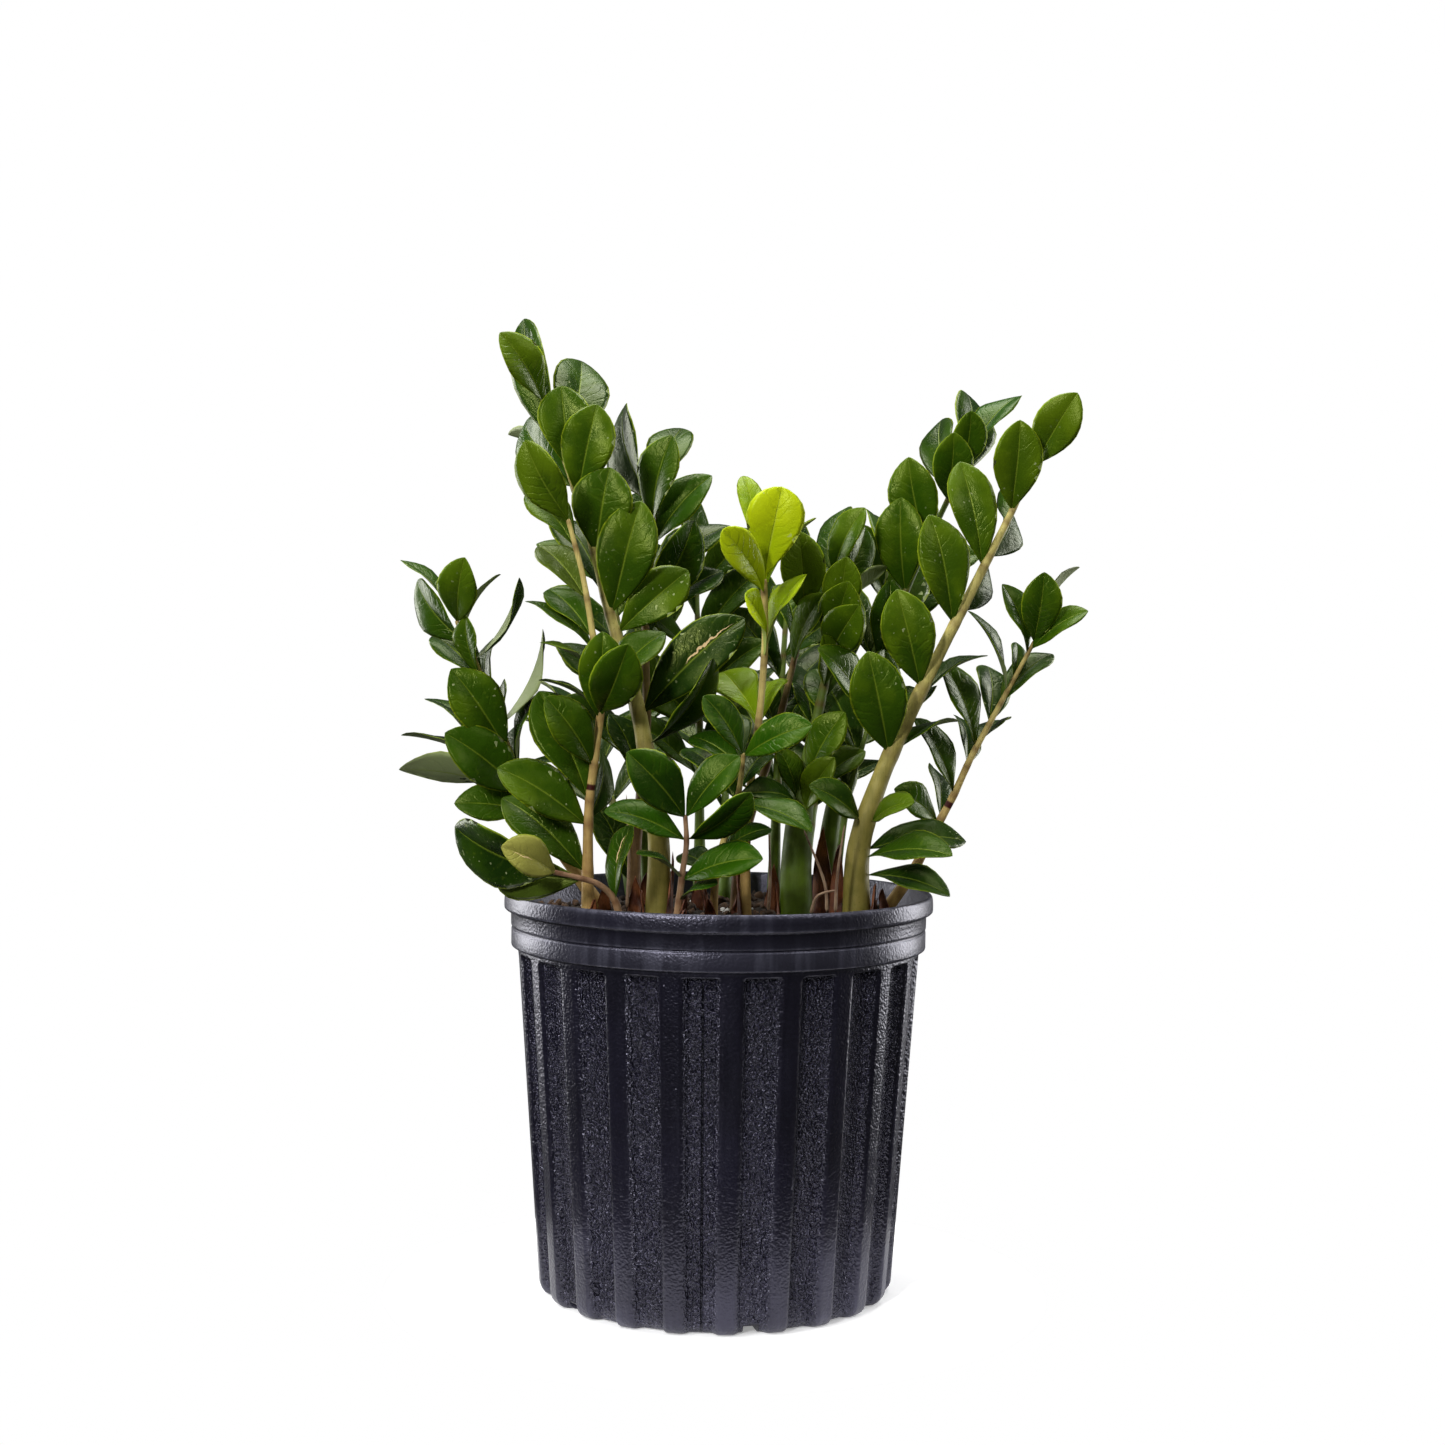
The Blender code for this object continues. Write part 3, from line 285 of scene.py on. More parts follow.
    "centre_brown": dict(
        stand=(10, 4), girth=(7.0, 5.6, 4.8, 4.0, 3.0), skin="brown", tone_and_painted_shade=0.04,
        stalk=[(13, 265, 3), (22, 298, 0), (30, 325, 0), (37, 352, 0), (43, 378, 0), (50, 410, 0)],
        leaflets=[(47, 461, 51, 410, -20, 10, 7), (61, 424, 47, 380, -20, 58), (37, 430, 45, 388, 25, 40),
            (70, 440, 50, 405, 20, 45, 7, 0, 4), (62, 372, 38, 355, 20, 45, 40, -32),
            (15, 380, 34, 340, 20, 50), (10, 350, 30, 318, 25, 50)]),
    "left_back": dict(
        stand=(-52, 0), girth=(7.4, 6.0, 5.0, 4.0, 2.6), skin="brown", tone_and_painted_shade=-0.24, fresh=0.2,
        widths={1: 1.12, 2: 0.78},
        stalk=[(-50, 280, 0), (-45, 340, 0), (-46, 378, 2), (-46, 420, 4), (-42, 460, 6), (-44, 490, 6)],
        leaflets=[(-33, 518, -44, 464, -15, 40), (-65, 539, -45, 478, 10, -55, 30),
            (-29, 526, -44, 484, 44, 20, 0, 0, -4), (-9, 495, -41, 452, -10, 40),
            (-17, 466, -43, 412, -12, -35), (3, 467, -44, 425, 20, 52, 7),
            (-1, 439, -45, 402, 10, 60, 7, -10), (-30, 455, -45, 395, 20, 40, 40, -20),
            (-66, 350, -47, 306, 10, 40), (-74, 294, -50, 244, 6, 30), (-33, 318, -49, 284, 20, 55)]),
    "right_thin": dict(
        stand=(70, -13), girth=(5.4, 4.4, 3.8, 3.3, 2.6), skin="green", tone_and_painted_shade=-0.04,
        stalk=[(73, 262, -14), (78, 300, -14), (86, 330, -12), (92, 350, -10)],
        leaflets=[(60, 391, 90, 345, -5, 65, -30), (52, 376, 84, 325, 0, 62, 40, -32, -8),
            (100, 390, 92, 350, 10, 40), (60, 340, 76, 292, 5, 45, 14, 0, -4)]),
    "right_back": dict(
        stand=(65, 12), girth=(14.0, 10.0, 5.6, 4.2, 2.6), skin="green", fresh=0.2,
        stalk=[(65, 262, 10), (73, 310, 10), (88, 360, 14), (105, 410, 18), (122, 450, 20), (138, 485, 22),
            (150, 510, 24)],
        leaflets=[(112, 506, 124, 452, -15, -8), (107, 481, 110, 425, -8, -14, -7),
            (140, 521, 137, 480, -26, 10), (151, 535, 147, 500, -32, 10, 7), (178, 546, 150, 510, 20, 56),
            (152, 549, 143, 494, 24, 42, 21), (130, 530, 138, 488, 32, -30, 0, -10),
            (103, 431, 96, 380, -10, 30), (116, 458, 102, 400, 10, 30, 21),
            (94, 479, 106, 418, 36, 30, 40, 20), (127, 400, 92, 368, 20, 40), (60, 350, 76, 316, 10, 40)]),
    "rear_left": dict(stand=(-44, 46), end=(-76, 456, 100), pairs=4, skin="green", bends={1: (-7,)}),
    "rear_mid_left": dict(stand=(-12, 36), end=(-16, 438, 84), pairs=4, skin="green", bends={2: (-40, -20),
        4: (-30, 20, -8), 6: (0, 0, -8), 7: (-7,)}),
    "rear_mid_right": dict(stand=(34, 36), end=(40, 428, 92), pairs=4, skin="green", bends={0: (21,),
        2: (30,), 3: (40,), 4: (7,), 6: (7,)}),
    "rear_right": dict(stand=(70, 50), end=(112, 446, 104), pairs=4, skin="green", bends={0: (14,),
        2: (40, -10, 4), 4: (21,), 5: (-7,), 6: (-21,)}),
    "rear_low_left": dict(stand=(-56, 76), end=(-86, 338, 168), pairs=3, skin="green"),
    "rear_low_mid": dict(stand=(4, 86), end=(2, 356, 190), pairs=3, skin="green", bends={0: (14,)}),
    "rear_low_right": dict(stand=(54, 80), end=(68, 338, 166), pairs=3, skin="green", bends={0: (-14,)}),
}

# Dry sheaths: the stalk foot they wrap (x, y), its radius, the way they face (0 is the front, positive
# to the right), half their width as an angle, their height and how far their top stands off
SHEATHS = [
    (-36, -44, 8.2, 62, 34, 46, 1.5), (-36, -44, 7.9, -96, 44, 22, 2.0), (-24, -90, 2.9, 70, 80, 26, 3.5),
    (-24, -90, 3.3, 40, 60, 16, 5.0), (-3, -66, 3.2, -74, 88, 28, 4.0), (-3, -66, 3.6, -20, 60, 20, 6.0),
    (16, -38, 4.1, -82, 62, 38, 1.4), (10, 4, 4.0, 30, 80, 26, 3.0), (34, 36, 5.0, 0, 90, 30, 1.0),
    (46, -28, 10.6, -84, 26, 26, 1.2), (81, -45, 9.0, 78, 40, 27, 1.8), (81, -45, 9.2, 104, 30, 17, 3.0),
    (104, 14, 4.4, -30, 80, 19, 2.4), (65, 12, 7.4, -10, 80, 58, 2.6), (70, -13, 3.2, 20, 90, 50, 4.0),
    (-76, -60, 4.4, 40, 70, 18, 2.2), (-52, 0, 4.2, 10, 90, 26, 1.8), (-70, -16, 4.9, 20, 80, 22, 2.4),
    (-12, 36, 4.9, 0, 90, 28, 2.0), (-44, 46, 4.9, -10, 90, 24, 2.6), (70, 50, 4.9, 10, 90, 24, 2.0)]
SHEATH_ROWS = 13
SHEATH_ACROSS = 9

# Loose grains on the mix: name, stuff, how many, smallest and largest size, and how flat
GRAINS = [("bark_chips", "bark", 620, 1.3, 4.2, 0.6), ("perlite_grains", "perlite", 70, 1.0, 2.4, 0.85)]

# Thin dry stems in the mix: the sheet places and depths that they pass, foot first
DRY_STEMS = [
    [(66, 228, -62), (64, 248, -64), (51, 280, -66)], [(71, 228, -70), (72, 252, -72), (76, 283, -74)],
    [(30, 228, 6), (31, 250, 6), (30, 282, 8)], [(-56, 228, -30), (-55, 262, -32), (-57, 300, -34)],
    [(56, 228, -84), (60, 239, -90), (71, 243, -96)]]
STEM_RINGS = 16
STEM_SIDES = 8

# Colours of the two leaflets
GREEN = dict(dark=(0.007, 0.023, 0.002), middle=(0.025, 0.061, 0.002), bright=(0.078, 0.132, 0.003),
             fresh=(0.010, 0.060, 0.001), rib=(0.19, 0.26, 0.02), margin=(0.27, 0.35, 0.015),
             under=(0.22, 0.265, 0.115), vein=(0.19, 0.26, 0.02), vein_share=0.05)
LIME = dict(dark=(0.13, 0.21, 0.002), middle=(0.28, 0.38, 0.003), bright=(0.42, 0.51, 0.005),
            fresh=(0.10, 0.30, 0.002), rib=(0.40, 0.48, 0.04), margin=(0.44, 0.53, 0.03),
            under=(0.32, 0.38, 0.08), vein=(0.15, 0.22, 0.002), vein_share=0.34)

# Stalks' skins: colours of the foot, the top and the flecks
SKINS = dict(tan=((0.45, 0.30, 0.10), (0.56, 0.46, 0.15), (0.22, 0.11, 0.035)),
             olive=((0.24, 0.20, 0.045), (0.56, 0.48, 0.15), (0.12, 0.11, 0.015)),
             green=((0.085, 0.145, 0.008), (0.10, 0.15, 0.02), (0.06, 0.08, 0.01)),
             brown=((0.17, 0.10, 0.04), (0.24, 0.17, 0.06), (0.06, 0.035, 0.015)),
             pink=((0.33, 0.20, 0.10), (0.36, 0.21, 0.12), (0.15, 0.08, 0.04)))

# Rough stuff: dark and light colour, roughness and the size of its patches
EARTHS = dict(mix=((0.008, 0.005, 0.003), (0.035, 0.022, 0.012), 0.95, 90.0),
              bark=((0.02, 0.010, 0.005), (0.10, 0.050, 0.022), 0.85, 140.0),
              perlite=((0.55, 0.54, 0.50), (0.82, 0.81, 0.78), 0.8, 200.0),
              dry_sheath=((0.085, 0.018, 0.005), (0.27, 0.085, 0.022), 0.6, 70.0),
              dry_stem=((0.16, 0.09, 0.05), (0.33, 0.22, 0.13), 0.7, 90.0))

# Leaflets' painted glint specks, aged and torn places, and stalks' scars and rings
PAINTED_GLINT_SPECK = (0.36, 0.40, 0.20)
PALED = (0.30, 0.28, 0.06)
TORN = (0.66, 0.47, 0.25)
SCAR = (0.10, 0.035, 0.012)
RING = (0.045, 0.006, 0.004)

# Pot's colours: plastic, its lighter clouds, lighter bluish patches, haze, painted glints on the pebbles'
# crests, worn edges that also paint highlight lines, scuffs and seam
PLASTIC = (0.0022, 0.0020, 0.0050)
CLOUDS = (0.0048, 0.0042, 0.0110)
LOW_PALE = (0.050, 0.048, 0.074)
HAZE = (0.04, 0.04, 0.055)
PAINTED_CREST_GLINT = (0.050, 0.047, 0.080)
WORN_AND_HIGHLIT_EDGE = (0.12, 0.12, 0.16)
SCUFF = (0.05, 0.05, 0.06)
SEAM = (0.0015, 0.0015, 0.002)
SEAM_TURN = math.radians(-4.0)

# Scuffs on the pot: place across and up in metres, and their slant
SCUFFS = ((-0.0432, 0.165, 0.5), (0.0445, 0.088, 0.7))


# The plant's plan


def placed(u, v, depth):
    """Point seen at (u, v) on the elevation sheet, slid along the line of sight to its depth, in mm."""
    return EYE + (np.array([u, 0.0, v]) - EYE) * (depth - EYE[1]) / -EYE[1]


def drawn(point):
    """Elevation sheet place (u, v) of a point, the reverse of placed."""
    return (EYE + (point - EYE) / ((point[..., 1:2] - EYE[1]) / -EYE[1]))[..., (0, 2)]


def unit(vector):
    """The vector at length one."""
    return vector / np.linalg.norm(vector)


def read_at(places, values):
    """Rows of values read between their whole numbers at the places."""
    at = np.arange(len(values))
    return np.stack([np.interp(places, at, values[:, axis]) for axis in range(values.shape[1])], axis=-1)


def smooth_line(points, steps):
    """Catmull-Rom curve through the points, read at even steps of its length."""
    points = np.asarray(points, float)
    ends = np.vstack([2 * points[0] - points[1], points, 2 * points[-1] - points[-2]])
    t = np.linspace(0.0, 1.0, 16, endpoint=False)[:, None]
    fine = []
    for k in range(len(points) - 1):
        a, b, c, d = ends[k:k + 4]
        fine.append(0.5 * (2 * b + (c - a) * t + (2 * a - 5 * b + 4 * c - d) * t ** 2
                           + (3 * b - a - 3 * c + d) * t ** 3))
    fine = np.vstack(fine + [points[-1:]])
    length = np.concatenate([[0.0], np.cumsum(np.linalg.norm(np.diff(fine, axis=0), axis=1))])
    even = np.linspace(0.0, length[-1], steps)
    return np.column_stack([np.interp(even, length, fine[:, axis]) for axis in range(3)])


def stalk(frond):
    """A frond's stalk line and its radius at each point of it.

    The line goes straight up out of its hole and then through its points; a rear frond's rises to a
    knee first. The foot's thickness is even and the rest tapers.
    """
    foot = np.array([*frond["stand"], SOIL_LEVEL + COLLAR_STRAIGHT])
    steps = REAR_STALK_STEPS
    if "stalk" in frond:
        points = [placed(*point) for point in frond["stalk"]]
        if points[-1][2] - SOIL_LEVEL > SHORT_STALK:
            steps = STALK_STEPS
    else:
        end = placed(*frond["end"])
        points = [foot + (end - foot) * np.array(REAR_KNEE), end]
    below = foot - np.array([0.0, 0.0, COLLAR_STRAIGHT + ROOTED])
    girth = frond.get("girth", REAR_GIRTH)
    above = np.interp(np.linspace(0.0, 1.0, steps), np.linspace(0.0, 1.0, len(girth)), girth)
    line = np.vstack([below, smooth_line(np.vstack([foot, points]), steps)])
    return line, np.concatenate([girth[:1], above]) / 2


def leaflet(root, radius, reach, turn, tangent, breadth, bend):
    """A leaflet from its place on the stalk as far as reach, its face turned towards the frond's end.

    Its width grows with its length up to the longest width. A bend changes how far its tip leans back,
    the turn of its face and its heading on the sheet.
    """
    lean, twist, heading = (*bend, 0, 0, 0)[:3]
    cos, sin = math.cos(math.radians(heading)), math.sin(math.radians(heading))
    x, y, z = reach
    tip = root + np.array([cos * x - sin * z, y + lean, sin * x + cos * z])
    rib = unit(tip - root)
    start = root - tangent * ROOT_BACK + rib * max(0.3 * radius, radius - ROOT_SINK)
    length = np.linalg.norm(tip - start)
    towards_eye = unit(EYE - start)
    face = unit(towards_eye - rib * towards_eye.dot(rib))
    across = np.cross(rib, face)
    if across.dot(tangent) < 0:
        across = -across
    angle = math.radians(turn + twist)
    normal = math.cos(angle) * face + math.sin(angle) * across
    return dict(root=start, rib=rib, length=length, normal=normal, side=np.cross(normal, rib),
                width=breadth * min(BLADE_SLENDER * length + 2.0, LONGEST_WIDTH))


def traced_leaflets(frond):
    """A traced frond's leaflets: each root is the stalk's point nearest to its place on the sheet."""
    line, radius = frond["line"], frond["radius"]
    places = np.linspace(1, len(line) - 1, STALK_READINGS)
    fine = read_at(places, np.column_stack([line, radius]))
    fine, thick = fine[:, :3], fine[:, 3]
    sheet = drawn(fine)
    for tip_u, tip_v, root_u, root_v, lean, turn, *bend in frond["leaflets"]:
        k = int(np.argmin(np.hypot(sheet[:, 0] - root_u, sheet[:, 1] - root_v)))
        tangent = unit(fine[min(k + 2, STALK_READINGS - 1)] - fine[max(k - 2, 0)])
        reach = placed(tip_u, tip_v, fine[k, 1] + lean) - fine[k]
        yield leaflet(fine[k], thick[k], reach, turn, tangent, frond.get("breadth", 1.0), bend)


def ruled_leaflets(frond, rng):
    """A rear frond's leaflets: two rows along the stalk, rising to its upper side, one at its end."""
    line, radius = frond["line"], frond["radius"]
    outward = unit(line[-1] - line[1])
    upper = unit(np.array([0.0, 0.0, 1.0]) - outward * outward[2] - np.array([0.0, 0.6, 0.0]))
    last = 2 * frond["pairs"]
    for k in range(last + 1):
        along = REAR_FIRST + (1 - REAR_FIRST) * k / last
        place = 1 + along * (len(line) - 2)
        *root, thick = read_at(place, np.column_stack([line, radius]))
        ahead = min(int(place) + 1, len(line) - 1)
        tangent = unit(line[ahead] - line[ahead - 1])
        hand = 1 if k % 2 else -1
        across = unit(np.cross(tangent, upper)) * hand
        spread = REAR_SPREAD if along < 0.99 else REAR_END_SPREAD
        spread += math.radians(rng.uniform(-7, 7))
        lift = REAR_LIFT + math.radians(rng.uniform(-14, 14))
        aim = math.cos(lift) * across + math.sin(lift) * unit(np.cross(across, tangent)) * hand
        reach = REAR_LEAFLET * rng.uniform(0.9, 1.08)
        reach = reach * (math.cos(spread) * tangent + math.sin(spread) * aim)
        turn = rng.uniform(35, 75)
        yield leaflet(np.array(root), thick, reach, turn, tangent, 1.0, frond.get("bends", {}).get(k, ()))


def plan_plant():
    """All fronds by name with their stalk lines and leaflets, traced ones first."""
    rng = random.Random(SEED)
    plan = {}
    for short, frond in FRONDS.items():
        line, radius = stalk(frond)
        frond = dict(frond, line=line, radius=radius)
        grown = traced_leaflets(frond) if "leaflets" in frond else ruled_leaflets(frond, rng)
        plan[f"frond_{short}"] = dict(frond, grown=list(grown))
    return plan


# Meshes


def quads(rows, columns):
    """Quads of a grid of points whose last column joins its first."""
    row = np.arange(rows - 1)[:, None] * columns
    column = np.arange(columns)[None, :]
    ahead = (column + 1) % columns
    corners = (row + column, row + ahead, row + columns + ahead, row + columns + column)
    return np.stack(corners, axis=-1).reshape(-1, 4)


def many(rows, columns, count):
    """Quads of a number of like closed grids that follow each other."""
    shift = np.arange(count)[:, None, None] * rows * columns
    return (quads(rows, columns)[None] + shift).reshape(-1, 4)


def piece(name, points, faces, finish, replaces=None, uv=None, marks=None, face_marks=None):
    """A finished smooth piece from whole arrays in millimetres, riding on the plant.

    marks and face_marks are named numbers for each point and each face; uv is given for each point.
    """
    mesh = bpy.data.meshes.new(name)
    mesh.from_pydata((points.reshape(-1, 3) * MM).tolist(), [], faces.tolist())
    if uv is not None:
        layer = mesh.uv_layers.new(name="along_across")
        layer.data.foreach_set("uv", uv[faces.ravel()].astype(np.float32).ravel())
    for marked, domain in ((marks, "POINT"), (face_marks, "FACE")):
        for label, values in (marked or {}).items():
            spot = mesh.attributes.new(label, "FLOAT", domain)
            spot.data.foreach_set("value", np.asarray(values, np.float32).ravel())
    shape = bmesh.new()
    shape.from_mesh(mesh)
    bmesh.ops.remove_doubles(shape, verts=shape.verts, dist=2e-7)
    shape.to_mesh(mesh)
    shape.free()
    mesh.shade_smooth()
    mesh.materials.append(finish)
    obj = linked(name, mesh)
    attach(obj, "root")
    if replaces:
        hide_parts(replaces)
    return obj


def linked(name, data):
    """A new object of that data in the scene."""
    obj = bpy.data.objects.new(name, data)
    bpy.context.scene.collection.objects.link(obj)
    return obj


# Shader parts


def feed(socket, value):
    """Give a node's input a number, a colour, a vector or a shade."""
    if isinstance(value, Shade):
        value.tree.links.new(value.socket, socket)
    elif isinstance(value, tuple):
        socket.default_value = (*value, 1.0)[:len(socket.default_value)]
    else:
        socket.default_value = value


def add_node(tree, kind, values, **settings):
    """A new shader node with its settings, and its inputs' values by name or number."""
    node = tree.nodes.new("ShaderNode" + kind)
    for label, setting in settings.items():
        setattr(node, label, setting)
    for label, value in values.items():
        feed(node.inputs[label], value)
    return node


class Shade:
    """A number, vector or colour that a node puts out; each sign used on it adds one Math node."""

    def __init__(self, socket):
        """The output and the tree that it is in."""
        self.socket, self.tree = socket, socket.id_data

    def math(self, operation, *others, clamp=False):
        """This number and the others through a Math node."""
        values = dict(enumerate((self, *others)))
        node = add_node(self.tree, "Math", values, operation=operation, use_clamp=clamp)
        return Shade(node.outputs[0])

    def __add__(self, other):
        """Sum."""
        return self.math("ADD", other)

    def __sub__(self, other):
        """Difference."""
        return self.math("SUBTRACT", other)

    def __mul__(self, other):
        """Product."""
        return self.math("MULTIPLY", other)

    def __truediv__(self, other):
        """Quotient."""
        return self.math("DIVIDE", other)

    def __abs__(self):
        """Its size without its sign."""
        return self.math("ABSOLUTE")

    def split(self):
        """The three numbers of a vector."""
        return [Shade(socket) for socket in add_node(self.tree, "SeparateXYZ", {0: self}).outputs]


def ramp(value, low, high, start=0.0, end=1.0):
    """Map Range with smooth ends: value from low to high gives start to end."""
    values = {"Value": value, "From Min": low, "From Max": high, "To Min": start, "To Max": end}
    node = add_node(value.tree, "MapRange", values, interpolation_type="SMOOTHSTEP")
    return Shade(node.outputs["Result"])


def noise(place, scale, detail=2.0):
    """Noise on a place vector."""
    values = {"Vector": place, "Scale": scale, "Detail": detail, "Roughness": 0.5}
    return Shade(add_node(place.tree, "TexNoise", values).outputs["Fac"])


def lengthened(place, share):
    """A place vector whose height counts for that share, which draws a noise on it out upwards."""
    return Shade(add_node(place.tree, "Mapping", {"Vector": place, "Scale": (1.0, 1.0, share)}).outputs[0])


def coats(colour, *layers):
    """A colour under further ones laid over it in turn, each as (share, colour)."""
    for share, layer in layers:
        node = add_node(share.tree, "Mix", {}, data_type="RGBA", clamp_factor=True)
        sockets = [socket for socket in node.inputs if socket.enabled]
        for socket, value in zip(sockets, (share, colour, layer)):
            feed(socket, value)
        colour = Shade([socket for socket in node.outputs if socket.enabled][0])
    return colour


def distance(x, y):
    """Distance of (x, y) from the middle."""
    return (x * x + y * y).math("SQRT")


def start_group(name, **inputs):
    """A shader group's tree and its named inputs: a vector where no number is given."""
    tree = bpy.data.node_groups.new(name, "ShaderNodeTree")
    for label, value in inputs.items():
        kind = "NodeSocketVector" if value is None else "NodeSocketFloat"
        socket = tree.interface.new_socket(label, in_out="INPUT", socket_type=kind)
        if value is not None:
            socket.default_value = value
    given = tree.nodes.new("NodeGroupInput")
    return tree, [Shade(given.outputs[label]) for label in inputs]


def end_group(tree, **outputs):
    """Put out a shader group's named masks and values."""
    for label in outputs:
        tree.interface.new_socket(label, in_out="OUTPUT", socket_type="NodeSocketFloat")
    made = tree.nodes.new("NodeGroupOutput")
    for label, value in outputs.items():
        feed(made.inputs[label], value)
    return tree


def use(tree, made_group, **values):
    """Outputs of a shader group placed in a material, by name."""
    node = add_node(tree, "Group", {}, node_tree=made_group)
    for label, value in values.items():
        feed(node.inputs[label], value)
    return {socket.name: Shade(socket) for socket in node.outputs}


def mottle_group():
    """Mottle: cloudy patches, small flecks and a fine grain, each a noise between 0 and 1."""
    tree, (place, scale) = start_group("mottle", Place=None, Scale=60.0)
    return end_group(tree, Patches=ramp(noise(place, scale, 3.0), 0.34, 0.68),
                     Flecks=ramp(noise(place, scale * 7.0, 1.0), 0.66, 0.74),
                     Grain=noise(place, scale * 24.0))


def leaf_marks_group():
    """Leaf marks: masks of the midrib, the thin margin and the side veins, from a leaflet's map.

    The map runs from root to tip in its first number and from margin to margin in its second, so
    twice the second less one is the place across: 0 on the midrib and 1 at a margin. The side veins
    are slanted bands whose spacing and strength a noise disturbs. Off is how far the place is from a
    long oval beside the midrib, where a dry streak can lie.
    """
    tree, (leaf_map, place) = start_group("leaf_marks", Map=None, Place=None)
    along, width, _ = leaf_map.split()
    side = width * 2.0 - 1.0
    across = abs(side)
    uneven = noise(place, 90.0)
    midrib = (across / (along * -0.06 + 0.085)).math("MULTIPLY_ADD", -1.0, 1.0, clamp=True)
    wave = ((along * 9.0 - across * 2.0 + uneven * 2.2) * math.tau).math("SINE")
    veins = ramp(wave, 0.45, 1.0) * ramp(noise(place, 35.0, 1.0), 0.4, 0.65)
    frayed = noise(place, 260.0) * 5.0 - 4.7
    off = distance(along * 3.4 - 2.30, side * 24.0 + frayed) + uneven * 0.5
    return end_group(tree, Midrib=midrib, Margin=ramp(across + uneven * 0.05, 0.95, 1.0), Veins=veins,
                     Across=across, Along=along, Off=off)


def pot_marks_group():
    """Pot marks: masks of the mould seam, scuffs and upright wisps, and the pebbled skin's height.

    The seam is where the place lies within half a millimetre of an upright plane through the axis on
    the front; a scuff is a small slanted oval on the wall; pebbles are the sum of two fine noises.
    """
    tree, (place,) = start_group("pot_marks", Place=None)
    x, y, z = place.split()
    front = y.math("LESS_THAN", 0.0)
    off = abs(x * math.cos(SEAM_TURN) + y * math.sin(SEAM_TURN))
    seam = ramp(off, 0.0008, 0.0002) * front * ramp(z, 0.203, 0.199)
    spots = []
    for across, up, slant in SCUFFS:
        rise = (z - up) * 260.0
        away = distance((x - across) * 700.0 - rise * slant, rise)
        spots.append(ramp(away, 1.1, 0.5) * front)
    return end_group(tree, Seam=seam, Scuff=spots[0].math("MAXIMUM", spots[1]),
                     Pebble=noise(place, 620.0, 0.0) + noise(place, 1000.0, 0.0) * 0.6,
                     Wisps=ramp(noise(lengthened(place, 0.10), 170.0, 3.0), 0.42, 0.72))


# Finishes


def start_finish(name):
    """A new material with its tree and object place."""
    finish = bpy.data.materials.new(name)
    finish.use_nodes = True
    tree = finish.node_tree
    return finish, tree, Shade(tree.nodes.new("ShaderNodeTexCoord").outputs["Object"])


def read_marks(tree, *labels):
    """Numbers that the piece carries for each point or face."""
    nodes = [add_node(tree, "Attribute", {}, attribute_name=label) for label in labels]
    return [Shade(node.outputs["Fac"]) for node in nodes]


def end_finish(finish, colour, rough, relief, strength, depth, gloss=None, tint=None):
    """Colour, roughness, small relief and mirror strength on a material's own shader."""
    shader = finish.node_tree.nodes["Principled BSDF"]
    bump = {"Strength": strength, "Distance": depth, "Height": relief}
    raised = add_node(finish.node_tree, "Bump", bump)
    values = {"Base Color": colour, "Roughness": rough, "Normal": Shade(raised.outputs["Normal"]),
              "Specular IOR Level": gloss, "Specular Tint": tint}
    for label, value in values.items():
        if value is not None:
            feed(shader.inputs[label], value)
    return finish


def leaf_finish(name, look, mottle, leaf_marks):
    """Waxy leaflet: its green goes from dark to bright with the leaflet's own tone, which carries painted
    light and shade.

    The blade darkens beside its midrib, the margin is a thin light line, pale specks in clumps are painted
    glints, and a blemish is dry tan.
    """
    finish, tree, place = start_finish(name)
    leaf_map = Shade(add_node(tree, "UVMap", {}, uv_map="along_across").outputs["UV"])
    marks = use(tree, leaf_marks, Map=leaf_map, Place=place)
    cloud = use(tree, mottle, Place=place, Scale=42.0)
    patches, midrib, rib = cloud["Patches"], marks["Midrib"], look["rib"]
    tone_and_painted_shade, fresh, aged, beneath, dry = read_marks(tree, "tone_and_painted_shade", "fresh", "aged", "under", "dry")
    # The tone carries painted light and shade; the green is also lighter towards the tip and the margins
    tone_and_painted_shade = tone_and_painted_shade + patches * 0.30 + marks["Along"] * 0.14 + marks["Across"] * 0.12
    tone_and_painted_shade = tone_and_painted_shade.math("ADD", -0.35, clamp=True)
    # Pale specks in clumps: painted glints
    painted_glint_specks = ramp(noise(place, 480.0, 0.0), 0.795, 0.815) * ramp(noise(place, 14.0, 0.0), 0.50, 0.62)
    torn = ramp(dry - marks["Off"], 0.0, 0.12)
    green = coats(
        look["dark"], (ramp(tone_and_painted_shade, 0.0, 0.5), look["middle"]), (ramp(tone_and_painted_shade, 0.5, 1.0), look["bright"]),
        (fresh * ramp(tone_and_painted_shade, 0.0, 0.6, 0.25, 0.85), look["fresh"]),
        (marks["Veins"] * look["vein_share"], look["vein"]), (cloud["Flecks"] * 0.12, rib),
        (painted_glint_specks * 0.6, PAINTED_GLINT_SPECK), (midrib * 0.62, rib), (aged, PALED),
        (beneath, coats(look["under"], (midrib, rib))), (marks["Margin"] * 0.7, look["margin"]),
        (torn, TORN))
    rough = patches * 0.08 + beneath * 0.20 + torn * 0.4 + 0.25
    relief = cloud["Grain"] * 0.45 - marks["Veins"] * 0.45 - midrib + patches * 1.1
    return end_finish(finish, green, rough, relief, 0.5, 0.0009, 0.24, (0.88, 1.0, 0.28))


